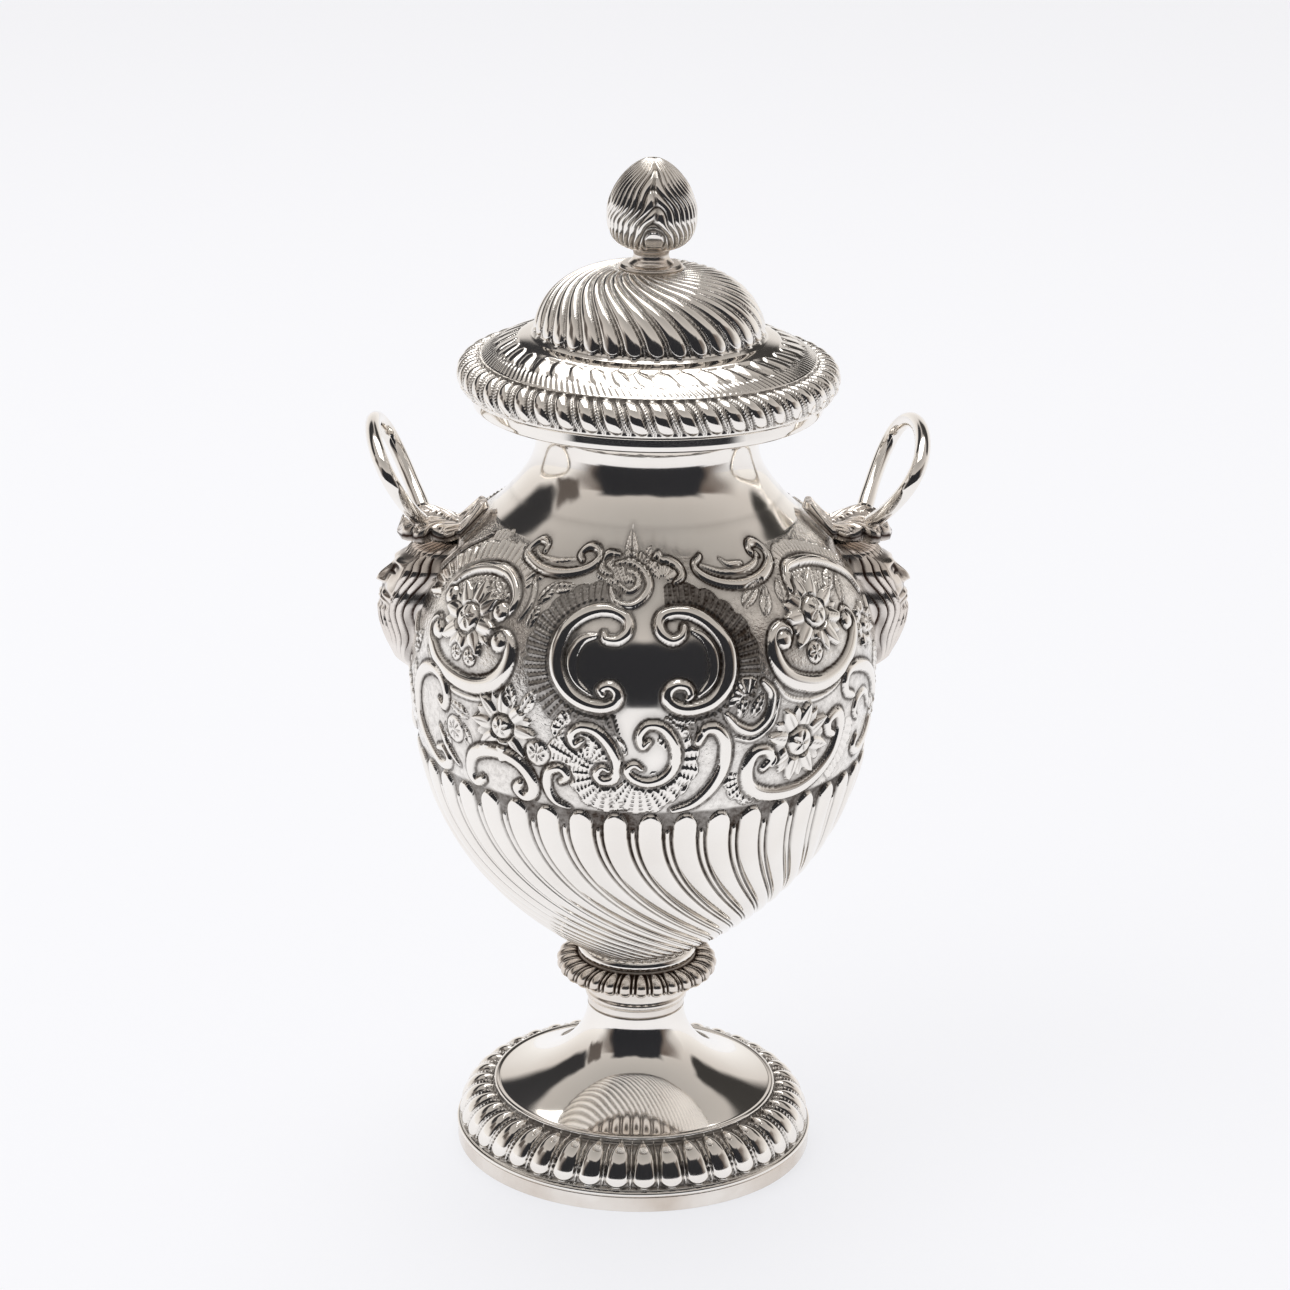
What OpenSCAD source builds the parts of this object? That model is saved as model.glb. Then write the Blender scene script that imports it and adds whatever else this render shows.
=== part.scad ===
// Covered silver sugar bowl on a pedestal foot, with two bearded masks and ring loops.
// Millimetres. +Z is up, the masks lie on X, the origin is the bottom centre of the foot.

/* [Plinth and foot] */
// Outside radius of the plinth band that stands on the table
plinth_r = 35.6; // [28:0.1:46]
// Height of the plinth band
plinth_h = 3.2; // [2:0.1:6]
// Thickness of the wire that finishes the top of the plinth band
plinth_wire_t = 1.0; // [0.6:0.1:2]
// Height of the lobed border on the foot
foot_border_h = 7.9; // [5:0.1:12]
// How far the lobed border slopes inwards
foot_border_run = 7.4; // [4:0.1:11]
// Height of the hollow-curved flare from the border to the stem
flare_h = 17.0; // [9:0.1:24]

/* [Stem] */
// Outside radius of the plain band on the stem
stem_r = 9.6; // [7:0.1:13]
// Height of the plain band on the stem
stem_band_h = 1.9; // [1:0.1:8]
// Height of the step and the plain neck below the knop
stem_step_h = 4.2; // [1.2:0.1:5]
// Widest radius of the knop
knop_r = 15.9; // [14:0.1:21]
// Height of the knop
knop_h = 5.1; // [4:0.1:12]
// Radius of the plain dish between the knop and the bowl
dish_r = 11.7; // [10:0.1:13.5]
// Height of the plain dish
dish_h = 1.8; // [1:0.1:4]
// Radius of the core hole through the stem's pieces
core_r = 5; // [3:0.1:6]

/* [Bowl] */
// Widest outside radius of the bowl
bowl_r = 45.7; // [36:0.1:58]
// Height from the bowl's seat to its widest place
belly_h = 63; // [48:0.5:80]
// Height from the widest place to the waist of the neck
shoulder_h = 41; // [32:0.5:54]
// Outside radius at the waist of the neck
neck_r = 21.2; // [17:0.1:26]
// Height of the flare from the neck to the mouth
mouth_flare_h = 7; // [4:0.1:11]
// Outside radius of the mouth band
mouth_r = 33.4; // [27:0.1:34]
// Height of the mouth band
mouth_band_h = 3.5; // [2.5:0.1:6]
// Thickness of the mouth band
mouth_band_t = 2.0; // [1.2:0.1:3]
// Thickness of the bowl's sheet
wall = 0.9; // [0.6:0.05:1.6]

/* [Cover] */
// Widest outside radius of the cover's lobed border
cover_r = 36.5; // [35.2:0.1:46]
// Height of the cover's lobed border
cover_border_h = 6.8; // [5:0.1:10]
// Radius where the lobed border meets the cover's sheet
cover_field_r = 32.0; // [28:0.1:33.5]
// Radius at the foot of the dome
dome_r = 22.2; // [16:0.1:27]
// Height of the shallow slope from the border to the dome
cover_slope_h = 4.2; // [1.5:0.1:5]
// Height of the dome
dome_h = 12.9; // [9:0.1:22]
// Thickness of the cover's sheet
cover_wall = 0.8; // [0.6:0.05:1.4]
// Thickness of the bezel ring under the cover
bezel_t = 1.0; // [0.7:0.1:1.6]
// How far the bezel drops into the mouth band
bezel_drop = 2.4; // [1.2:0.1:3]
// Gap between the bezel and the mouth band
bezel_gap = 0.3; // [0.15:0.05:0.8]
// Gap between the cover's border and the top of the mouth band
seat_gap = 0.1; // [0.05:0.05:0.3]

/* [Finial] */
// Radius of the finial's flange
flange_r = 6.2; // [4.6:0.1:8]
// Thickness of the finial's flange
flange_t = 0.8; // [0.6:0.1:2]
// Height of the finial's neck
finial_neck_h = 2.9; // [1.6:0.1:5]
// Radius of the finial's neck at its waist
finial_neck_r = 3.4; // [2.8:0.1:4.4]
// Widest radius of the bud
bud_r = 8.6; // [6.5:0.1:12]
// Height of the bud
bud_h = 17.2; // [12:0.1:26]
// Radius of the threaded stud that holds the bud
stud_r = 1.5; // [1:0.1:2]
// Clearance between the stud and the holes it passes
stud_gap = 0.1; // [0.05:0.05:0.3]
// How far the stud goes up into the bud
stud_in = 7; // [4:0.5:10]
// Distance across the corners of the nut
nut_d = 6.4; // [5:0.1:9]
// Height of the nut
nut_h = 2.2; // [1.5:0.1:3.5]
// Radius of the washer above the nut
washer_r = 4.2; // [3.8:0.1:6]
// Thickness of the washer
washer_t = 0.8; // [0.5:0.1:1.5]

/* [Ring loops] */
// Half the width of the ring loop at its middle height
loop_w = 14; // [11:0.1:17]
// Half the height of the ring loop
loop_h = 11; // [9:0.1:14]
// How much wider the loop is at its top than at its foot
loop_taper = 0.5; // [0.2:0.01:0.6]
// Lean of the loop away from upright, in degrees
loop_lean = 28; // [15:1:34]
// Radius of the loop's rod
loop_rod_r = 1.5; // [1.2:0.1:2.2]

/* [Masks and leaves] */
// How far the mask's nose stands out from the widest place of the bowl
mask_reach = 7.4; // [5:0.1:11]
// Half the width of the mask over its hair
mask_w = 8.4; // [6:0.1:11]
// Height from the beard's tip to the top of the mask
mask_h = 27.5; // [20:0.1:32]
// Half the width of the shoulder leaf under the loop
leaf_w = 8.8; // [7.8:0.1:11]
// Thickness of the shoulder leaf at its tip
leaf_t = 1.6; // [1:0.1:3]
// Height of the seat that the loop stands on, above the top of the mask
loop_seat_h = 3.2; // [2.4:0.1:5]

/* [Hidden] */
$fn = 96;

silver = [0.85, 0.84, 0.81];
worn = [0.72, 0.68, 0.62];
bright = [0.9, 0.9, 0.88];

// Heights up the foot and the stem
z_wire = plinth_h;
z_border = z_wire + plinth_wire_t;
z_flare = z_border + foot_border_h;
z_band = z_flare + flare_h;
z_knop = z_band + stem_band_h + stem_step_h;
z_dish = z_knop + knop_h;
z_bowl = z_dish + dish_h;

// Heights up the bowl
z_belly = z_bowl + belly_h;
z_neck = z_belly + shoulder_h;
z_mouth = z_neck + mouth_flare_h;
z_rim = z_mouth + mouth_band_h;

// Heights up the cover: its border hangs a little below the top of the mouth band
border_lap = mouth_band_h * 0.45;
z_cover = z_rim + seat_gap - border_lap;
z_field = z_cover + cover_border_h;
z_dome = z_field + cover_slope_h;
z_apex = z_dome + dome_h;
z_neck_f = z_apex + flange_t;
z_bud = z_neck_f + finial_neck_h;
z_top = z_bud + bud_h;

// Radii tied to the named sizes
border_foot_r = plinth_r - 0.5;
border_top_r = plinth_r - foot_border_run;
plinth_in_r = plinth_r - 1.5;
bowl_seat_r = dish_r - 0.5;
mouth_in_r = mouth_r - mouth_band_t;
bezel_r = mouth_in_r - bezel_gap;
hole_r = stud_r + stud_gap;
border_t = 1.2;

// Mask and leaf heights: the mask's top lies on the bowl's shoulder
z_beard = z_belly - 5.6;
z_brow = z_beard + mask_h;
z_seat = z_brow + loop_seat_h;

// A point on a curve with two end points and two control points
function bez(p, t) = p[0] * pow(1 - t, 3) + p[1] * 3 * t * pow(1 - t, 2)
                   + p[2] * 3 * t * t * (1 - t) + p[3] * pow(t, 3);

// A row of points along that curve
function curve(p, n) = [for (i = [0 : n]) bez(p, i / n)];

// The end tangent of a row of points, looking along the row
function along(v, i) = v[min(i + 1, len(v) - 1)] - v[max(i - 1, 0)];

// The same row moved by d to its left
function beside(v, d) = [for (i = [0 : len(v) - 1])
    let (a = along(v, i)) v[i] + [-a[1], a[0]] * d / norm(a)];

// The row read backwards
function back(v) = [for (i = [len(v) - 1 : -1 : 0]) v[i]];

// The outside of the bowl, from its seat to the mouth band
bowl_low = curve([[bowl_seat_r, z_bowl], [bowl_r * 0.82, z_bowl + belly_h * 0.265],
                  [bowl_r, z_belly - belly_h * 0.45], [bowl_r, z_belly]], 14);
bowl_high = curve([[bowl_r, z_belly], [bowl_r, z_belly + shoulder_h * 0.634],
                   [neck_r, z_neck - shoulder_h * 0.36], [neck_r, z_neck]], 14);
bowl_lip = curve([[neck_r, z_neck], [neck_r, z_neck + mouth_flare_h * 0.72],
                  [neck_r + (mouth_r - neck_r) * 0.35, z_mouth - wall - 0.4],
                  [mouth_in_r, z_mouth - wall]], 8);
bowl_side = concat([for (i = [0 : 13]) bowl_low[i]], [for (i = [0 : 13]) bowl_high[i]]);
bowl_out = concat(bowl_side, bowl_lip);

// The radius of a rising row of points at height z
function at_height(z, v) = [for (i = [0 : len(v) - 2])
    if (v[i][1] <= z && z < v[i + 1][1])
        v[i][0] + (v[i + 1][0] - v[i][0]) * (z - v[i][1]) / (v[i + 1][1] - v[i][1])][0];

// The part of the bowl's outside between two heights, with its own corners kept
function between(lo, hi) = concat([[at_height(lo, bowl_out), lo]],
    [for (q = bowl_out) if (q[1] > lo + 0.01 && q[1] < hi - 0.01) q],
    [[at_height(hi, bowl_out), hi]]);

// A flat ring or a tube
module ring(r, r_in, z, h) {
    translate([0, 0, z]) difference() {
        cylinder(r = r, h = h);
        translate([0, 0, -1]) cylinder(r = r_in, h = h + 2);
    }
}

// Upright band that stands on the table
module plinth_band() color(worn) ring(plinth_r - 0.3, plinth_in_r, 0, plinth_h);

// Bright wire that finishes the band
module plinth_wire() color(bright) {
    rotate_extrude() polygon([[plinth_in_r, z_wire], [plinth_r - 0.3, z_wire],
        [plinth_r, z_wire + plinth_wire_t * 0.35], [plinth_r, z_wire + plinth_wire_t * 0.65],
        [plinth_r - 0.3, z_border], [plinth_in_r, z_border]]);
}

// Rounded border whose outside carries the lobes
module foot_border() color(silver) {
    out = curve([[border_foot_r, z_border],
                 [border_foot_r, z_border + foot_border_h * 0.66],
                 [border_top_r + foot_border_run * 0.5, z_flare],
                 [border_top_r, z_flare]], 8);
    rotate_extrude() polygon(concat(out, [[border_top_r, z_flare - border_t]],
        [for (i = [7 : -1 : 1]) beside(out, border_t)[i]], [[border_foot_r - border_t, z_border]]));
}

// Hollow-curved flare between the border and the stem
module foot_trumpet() color(silver) {
    top = z_band;
    out = curve([[border_top_r, z_flare], [border_top_r * 0.65, z_flare + flare_h * 0.15],
                 [stem_r + 0.2, top - flare_h * 0.5], [stem_r, top]], 12);
    rotate_extrude() polygon(concat(out, [[stem_r - 1.1, top]],
        [for (i = [11 : -1 : 1]) beside(out, 1.1)[i]], [[border_top_r, z_flare - 1.1]]));
}

// Plain band on the stem with two small steps under the knop
module stem_collar() color(silver) {
    step_z = z_band + stem_band_h;
    difference() {
        union() {
            translate([0, 0, z_band]) cylinder(r = stem_r, h = stem_band_h);
            translate([0, 0, step_z]) cylinder(r = stem_r + 0.5, h = stem_step_h * 0.27);
            translate([0, 0, step_z]) cylinder(r = stem_r + 0.1, h = stem_step_h);
        }
        translate([0, 0, z_band - 1]) cylinder(r = core_r, h = z_knop - z_band + 2);
    }
}

// Rounded knop, wider above than below
module knop() color(worn) {
    low_r = stem_r + 1.2;
    low = curve([[low_r, z_knop], [knop_r - 0.6, z_knop + knop_h * 0.05],
                 [knop_r, z_knop + knop_h * 0.3], [knop_r, z_knop + knop_h * 0.55]], 6);
    high = curve([[knop_r, z_knop + knop_h * 0.55], [knop_r, z_knop + knop_h * 0.82],
                  [dish_r + 2.2, z_dish], [dish_r, z_dish]], 6);
    rotate_extrude() polygon(concat([[core_r, z_knop]], low,
        [for (i = [1 : 6]) high[i]], [[core_r, z_dish]]));
}

// Plain dish that the bowl is seated on
module stem_dish() color(bright) {
    rotate_extrude() polygon([[core_r, z_dish], [dish_r, z_dish],
        [dish_r + 0.1, z_dish + dish_h * 0.45], [bowl_seat_r, z_bowl], [core_r, z_bowl]]);
}

// Bowl raised from sheet: closed below, with a waisted neck and a flared mouth
module body_shell() color(silver) {
    inner = beside(bowl_out, wall);
    n = len(bowl_out) - 1;
    rotate_extrude() polygon(concat([[0, z_bowl]], bowl_out, [[mouth_in_r, z_mouth]],
        [for (i = [n - 1 : -1 : 0]) inner[i]], [[0, inner[0][1]]]));
}

// Upright band around the mouth, which the cover rests on
module mouth_band() color(bright) {
    rotate_extrude() polygon([[mouth_in_r, z_mouth - wall], [mouth_r - 0.7, z_mouth - wall],
        [mouth_r - 0.15, z_mouth - wall + 0.35], [mouth_r, z_mouth - wall + 0.95],
        [mouth_r, z_rim], [mouth_in_r, z_rim]]);
}

// Everything outside the bowl in a sector about +X, between the bowl and an outer row
module sector(outer, lo, hi, half_angle) {
    rotate([0, 0, -half_angle]) rotate_extrude(angle = 2 * half_angle)
        polygon(concat(between(lo, hi), back(outer)));
}

// Bearded mask on +X: its side outline is spun about the bowl, its front outline is cut across
module mask() {
    h = mask_h;
    nose = bowl_r + mask_reach;
    b = z_beard;
    side = [[bowl_r + mask_reach * 0.28, b], [nose - 3.4, b + h * 0.17], [nose - 2.2, b + h * 0.36],
            [nose - 2.4, b + h * 0.5], [nose - 1.4, b + h * 0.57], [nose - 1.5, b + h * 0.67],
            [nose, b + h * 0.74], [nose - 1.6, b + h * 0.84], [nose - 1.8, b + h * 0.9],
            [nose - 4.4, z_brow - 0.8], [nose - 5.9, z_brow]];
    front = [[0, b], [2.2, b + 1.2], [mask_w * 0.62, b + h * 0.22], [mask_w * 0.86, b + h * 0.4],
             [mask_w, b + h * 0.62], [mask_w * 0.96, b + h * 0.82], [mask_w * 0.8, z_brow]];
    intersection() {
        sector(side, b, z_brow, 16);
        rotate([90, 0, 90]) linear_extrude(height = nose + 4)
            polygon(concat(front, [for (q = back(front)) [-q[0], q[1]]]));
    }
}

// Leaf that lies on the shoulder and carries the loop's flat seat
module shoulder_leaf() {
    tip_z = z_seat + 2.6;
    tip_r = at_height(tip_z, bowl_out);
    seat_r = bowl_r + 1;
    over = [[bowl_r + 1.4, z_brow], [bowl_r + 2, z_seat - 1.4], [seat_r, z_seat],
            [seat_r - 5.6, z_seat], [seat_r - 6.4, z_seat + 0.4],
            [tip_r + (seat_r - tip_r) * 0.5, z_seat + 0.9 + leaf_t * 0.3],
            [tip_r + leaf_t * 0.6, tip_z + leaf_t * 0.5], [tip_r + 0.05, tip_z]];
    plan = [[tip_r - 3, 0.6], [tip_r + 1.5, leaf_w * 0.42], [tip_r + 5.5, leaf_w * 0.74],
            [seat_r - 6.4, leaf_w * 0.82], [seat_r - 4.6, leaf_w], [bowl_r + 0.6, leaf_w],
            [bowl_r + 4, leaf_w * 0.6]];
    intersection() {
        sector(over, z_brow, tip_z, 24);
        translate([0, 0, z_brow - 1]) linear_extrude(height = tip_z - z_brow + 6)
            polygon(concat(plan, [for (q = back(plan)) [q[0], -q[1]]]));
    }
}

// Centre of the loop's rod at angle a from its top, in the row X, Y, Z
function loop_at(a) =
    let (up = loop_h * cos(a), over = loop_w * sin(a) * (1 + loop_taper * cos(a)),
         z_mid = z_seat + 0.82 * loop_h * cos(loop_lean),
         x_mid = bowl_r + 1.2 + (loop_h - 11) * 0.3)
    [x_mid + up * sin(loop_lean), over, z_mid + up * cos(loop_lean)];

// Ring loop, cut flat where it stands on the leaf
module handle_loop() {
    steps = 26;
    difference() {
        for (i = [0 : steps - 1]) {
            a = -150 + 300 * i / steps;
            hull() {
                translate(loop_at(a)) sphere(r = loop_rod_r, $fn = 14);
                translate(loop_at(a + 300 / steps)) sphere(r = loop_rod_r, $fn = 14);
            }
        }
        translate([bowl_r - 30, -40, z_seat - 20]) cube([60, 80, 20]);
    }
}

module mask_left() color(silver) mirror([1, 0, 0]) mask();
module mask_right() color(silver) mask();
module shoulder_leaf_left() color(silver) mirror([1, 0, 0]) shoulder_leaf();
module shoulder_leaf_right() color(silver) shoulder_leaf();
module handle_loop_left() color(bright) mirror([1, 0, 0]) handle_loop();
module handle_loop_right() color(bright) handle_loop();

// Cover sheet: a shallow slope from the border, then the dome, with a hole for the stud
module cover_dome() color(silver) {
    slope = curve([[cover_field_r, z_field], [cover_field_r - 3, z_field + cover_slope_h * 0.6],
                   [dome_r + 2.6, z_dome - cover_slope_h * 0.1], [dome_r, z_dome]], 8);
    rise = curve([[dome_r, z_dome], [dome_r * 0.975, z_dome + dome_h * 0.53],
                  [dome_r * 0.74, z_apex - 0.5], [flange_r + 0.2, z_apex]], 12);
    out = concat(slope, [for (i = [1 : 12]) rise[i]]);
    inner = beside(out, cover_wall);
    n = len(out) - 1;
    rotate_extrude() polygon(concat([[cover_field_r, z_field - cover_wall]], out,
        [[hole_r, z_apex], [hole_r, z_apex - cover_wall], [flange_r, z_apex - cover_wall]],
        [for (i = [n - 1 : -1 : 1]) inner[i]]));
}

// Lobed border of the cover: it overhangs the mouth band and rests on it by its inner foot
module cover_border() color(silver) {
    foot_r = max(mouth_r + 1.1, cover_r - 2);
    over_z = z_rim + seat_gap;
    out = curve([[foot_r, z_cover], [cover_r + 0.9, z_cover + cover_border_h * 0.28],
                 [cover_r + 0.7, z_field - cover_border_h * 0.02], [cover_field_r, z_field]], 10);
    rotate_extrude() polygon(concat(out, [[cover_field_r, z_field - cover_wall],
        [bezel_r, z_field - cover_wall], [bezel_r, over_z], [mouth_r - 0.4, over_z],
        [mouth_r + 0.4, over_z + 0.5], [foot_r - 0.6, z_cover]]));
}

// Bezel ring that drops into the mouth band and keeps the cover central
module cover_bezel() color(bright) {
    low = z_rim + seat_gap - bezel_drop;
    ring(bezel_r, bezel_r - bezel_t, low, z_field - cover_wall - low);
}

// Flange of the finial, flat on the dome
module finial_flange() color(worn) {
    difference() {
        union() {
            translate([0, 0, z_apex]) cylinder(r = flange_r, h = flange_t * 0.6);
            translate([0, 0, z_apex]) cylinder(r = flange_r - 0.6, h = flange_t);
        }
        translate([0, 0, z_apex - 1]) cylinder(r = hole_r, h = flange_t + 2);
    }
}

// Waisted neck of the finial
module finial_neck() color(worn) {
    waist = curve([[finial_neck_r + 1, z_neck_f], [finial_neck_r - 0.3, z_neck_f + finial_neck_h * 0.4],
                   [finial_neck_r - 0.2, z_bud - finial_neck_h * 0.4], [finial_neck_r + 0.3, z_bud]], 6);
    rotate_extrude() polygon(concat([[hole_r, z_neck_f]], waist, [[hole_r, z_bud]]));
}

// Bud with a blind hole for the stud
module finial_bud() color(silver) {
    low = curve([[finial_neck_r + 0.2, z_bud], [bud_r * 0.86, z_bud + bud_h * 0.03],
                 [bud_r, z_bud + bud_h * 0.19], [bud_r, z_bud + bud_h * 0.37]], 8);
    high = curve([[bud_r, z_bud + bud_h * 0.37], [bud_r, z_bud + bud_h * 0.67],
                  [bud_r * 0.44, z_top], [0, z_top]], 10);
    difference() {
        rotate_extrude() polygon(concat([[0, z_bud]], low, [for (i = [1 : 10]) high[i]]));
        translate([0, 0, z_bud - 1]) cylinder(r = stud_r, h = stud_in + 1);
    }
}

// Threaded stud from the bud down through the dome
module finial_stud() color(worn) {
    low = z_apex - cover_wall - washer_t - nut_h - 0.8;
    translate([0, 0, low]) cylinder(r = stud_r, h = z_bud + stud_in - low);
}

// Washer under the dome
module finial_washer() color(worn) {
    ring(washer_r, hole_r, z_apex - cover_wall - washer_t, washer_t);
}

// Six-sided nut under the washer
module finial_nut() color(worn) {
    low = z_apex - cover_wall - washer_t - nut_h;
    translate([0, 0, low]) difference() {
        cylinder(d = nut_d, h = nut_h, $fn = 6);
        translate([0, 0, -1]) cylinder(r = stud_r, h = nut_h + 2);
    }
}

plinth_band();
plinth_wire();
foot_border();
foot_trumpet();
stem_collar();
knop();
stem_dish();
body_shell();
mouth_band();
mask_left();
mask_right();
shoulder_leaf_left();
shoulder_leaf_right();
handle_loop_left();
handle_loop_right();
cover_dome();
cover_border();
cover_bezel();
finial_flange();
finial_neck();
finial_bud();
finial_stud();
finial_washer();
finial_nut();
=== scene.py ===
# %% [markdown]
# # A covered silver sugar bowl
# The bowl is raised from sheet silver, lobed below and chased above, and it stands on a stem
# with a lobed knop and foot. The fixed model gives every size. This lesson dresses it: each
# piece becomes a surface worked out with numpy, and one family of silver finishes covers all.

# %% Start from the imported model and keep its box
import math
import bpy
import numpy as np
from mathutils import Matrix, Vector


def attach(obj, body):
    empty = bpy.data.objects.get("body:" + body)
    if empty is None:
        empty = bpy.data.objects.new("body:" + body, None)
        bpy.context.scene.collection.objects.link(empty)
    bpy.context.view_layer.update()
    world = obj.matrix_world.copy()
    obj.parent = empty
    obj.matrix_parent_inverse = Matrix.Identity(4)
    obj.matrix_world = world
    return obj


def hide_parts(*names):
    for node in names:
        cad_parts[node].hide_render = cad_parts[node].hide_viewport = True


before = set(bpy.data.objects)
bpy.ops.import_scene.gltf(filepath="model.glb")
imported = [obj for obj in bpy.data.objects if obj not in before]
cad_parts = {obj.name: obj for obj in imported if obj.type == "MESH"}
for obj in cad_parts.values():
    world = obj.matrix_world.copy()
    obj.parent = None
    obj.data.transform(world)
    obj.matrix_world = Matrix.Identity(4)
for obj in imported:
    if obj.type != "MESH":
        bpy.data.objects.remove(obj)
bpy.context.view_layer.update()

MM = 0.001
PI = np.pi
DEG = PI / 180

# %% [markdown]
# ## Heights from the model
# The pieces stand on one another, so each height belongs to two of them. They are written down
# once here, in mm from the table, with the values of the fixed model.

# %% Where one piece ends and the next begins
Z_WIRE, Z_BORDER, Z_FLARE = 3.2, 4.2, 12.1
Z_COLLAR, Z_KNOP, Z_DISH, Z_SEAT = 29.1, 35.2, 40.3, 42.1
Z_MOUTH, Z_COVER, Z_RIM = 152.2, 155.125, 156.6
Z_FIELD, Z_DOME, Z_APEX = 161.925, 166.125, 179.025
Z_NECK_LOW, Z_BUD, Z_TOP = 179.825, 182.725, 199.925
R_WIRE, R_FLARE, R_STEM, R_DISH, R_MOUTH = 35.3, 28.2, 9.6, 11.7, 33.4
R_FIELD, R_DOME, R_BUD = 32, 22.2, 8.6

# %% [markdown]
# ## From an array to a mesh
# Every new piece below is an array of points and an array of faces. foreach_set copies whole
# arrays into the mesh, which is far quicker than adding points one by one. The normals are
# worked out on the array as well, so that two pieces that meet shade as one sheet of metal.

# %% Put points, faces, normals and a recess value into a mesh
def put_mesh(name, points, faces, normals, hollow=None, ground=None):
    """A mesh in metres from points in mm. faces is a list of arrays, each (count, corners)."""
    mesh = bpy.data.meshes.new(name)
    corners = np.concatenate([f.ravel() for f in faces])
    sizes = np.concatenate([np.full(len(f), f.shape[1]) for f in faces])
    starts = np.concatenate([[0], np.cumsum(sizes)[:-1]])
    mesh.vertices.add(len(points))
    mesh.vertices.foreach_set("co", (points * MM).astype(np.float32).ravel())
    mesh.loops.add(len(corners))
    mesh.loops.foreach_set("vertex_index", corners.astype(np.int32))
    mesh.polygons.add(len(sizes))
    mesh.polygons.foreach_set("loop_start", starts.astype(np.int32))
    mesh.polygons.foreach_set("use_smooth", np.ones(len(sizes), bool))
    mesh.update(calc_edges=True)
    mesh.validate()
    mesh.normals_split_custom_set_from_vertices(normals.astype(np.float32))
    for label, values in (("hollow", hollow), ("ground", ground)):
        layer = mesh.attributes.new(label, "FLOAT", "POINT")
        values = np.zeros(len(points)) if values is None else values
        layer.data.foreach_set("value", values.astype(np.float32).ravel())
    piece = bpy.data.objects.new(name, mesh)
    bpy.context.scene.collection.objects.link(piece)
    print(f"{name}: {sum(len(f) * (f.shape[1] - 2) for f in faces)} triangles")
    return piece


def grid_faces(rows, cols, wrap_rows=False, wrap_cols=False):
    """Four-cornered faces that join each point of a grid to the next row and column."""
    i = np.arange(rows if wrap_rows else rows - 1)[:, None]
    j = np.arange(cols if wrap_cols else cols - 1)[None, :]
    a, b = i * cols, ((i + 1) % rows) * cols
    k = (j + 1) % cols
    return np.stack([a + j, a + k, b + k, b + j], -1).reshape(-1, 4)


def grid_normals(p, wrap_rows=False, wrap_cols=False):
    """Unit normals of a grid of points: the cross product of its row and column steps."""
    def steps(q, axis, wrap):
        return np.roll(q, -1, axis) - np.roll(q, 1, axis) if wrap else np.gradient(q, axis=axis)
    n = np.cross(steps(p, 1, wrap_cols), steps(p, 0, wrap_rows))
    return n / np.maximum(np.linalg.norm(n, axis=-1, keepdims=True), 1e-12)


def capped(name, p, n, ends, ends_n, hollow=None):
    """A tube of rings, each row of p one ring, whose two ends close on one point each."""
    rows, k = p.shape[:2]
    j, total = np.arange(k), rows * k
    after = (j + 1) % k
    faces = [grid_faces(rows, k, False, True),
             np.stack([np.full(k, total), after, j], 1),
             np.stack([total - k + j, total - k + after, np.full(k, total + 1)], 1)]
    return put_mesh(name, np.vstack([p.reshape(-1, 3), ends]), faces,
                    np.vstack([n.reshape(-1, 3), ends_n]), hollow)


# %% [markdown]
# ## Curves for a maker's drawing
# The fixed model draws its outlines with four-point curves. The same curves are repeated here
# so that a finished surface lies where its plain solid lies. A smooth line through a few
# chosen points draws every scroll of the chasing.

# %% Four-point curves, lines through points, and soft steps
def bez(p, n):
    """Points on the curve from p[0] to p[3] that p[1] and p[2] pull towards them."""
    p, t = np.array(p, float), np.linspace(0, 1, n)[:, None]
    return p[0] * (1 - t) ** 3 + p[1] * 3 * t * (1 - t) ** 2 + p[2] * 3 * t * t * (1 - t) + p[3] * t ** 3


def smooth_line(points, per=7):
    """A line through all the points: each stretch is a cubic that follows its neighbours."""
    p = np.array(points, float)
    q = np.vstack([2 * p[0] - p[1], p, 2 * p[-1] - p[-2]])
    t = np.linspace(0, 1, per, endpoint=False)[None, :, None]
    a, b, c, d = q[:-3, None], q[1:-2, None], q[2:-1, None], q[3:, None]
    s = 0.5 * (2 * b + (c - a) * t + (2 * a - 5 * b + 4 * c - d) * t ** 2
               + (3 * b - a - 3 * c + d) * t ** 3)
    return np.vstack([s.reshape(-1, p.shape[1]), p[-1:]])


def resample(line, n):
    """The line again, with n points at equal steps along it."""
    d = np.concatenate([[0], np.cumsum(np.linalg.norm(np.diff(line, axis=0), axis=1))])
    s = np.linspace(0, d[-1], n)
    return np.stack([np.interp(s, d, line[:, k]) for k in range(line.shape[1])], 1)


def step(lo, hi, x):
    """0 below lo, 1 above hi, and a smooth rise between."""
    t = np.clip((x - lo) / (hi - lo), 0, 1)
    return t * t * (3 - 2 * t)


def dome(x):
    """A round top: 1 at x = 0 and 0 at x = -1 and 1."""
    return np.sqrt(np.clip(1 - x * x, 0, 1))


# %% [markdown]
# ## Turned pieces with relief
# Most of the bowl is turned work with relief added. A profile gives radius and height, the
# relief pushes each point along the profile's own normal, and the whole is carried round.
# A closed profile makes a ring with a hole, and an open one that ends on the axis is a cap.

# %% Carry a profile round the axis
def profile_normals(profile, closed=False):
    """Unit normals to the right of the profile's direction, which is outwards when it rises."""
    t = np.roll(profile, -1, 0) - np.roll(profile, 1, 0) if closed else np.gradient(profile, axis=0)
    n = np.stack([t[:, 1], -t[:, 0]], 1)
    return n / np.maximum(np.linalg.norm(n, axis=1, keepdims=True), 1e-9)


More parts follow.
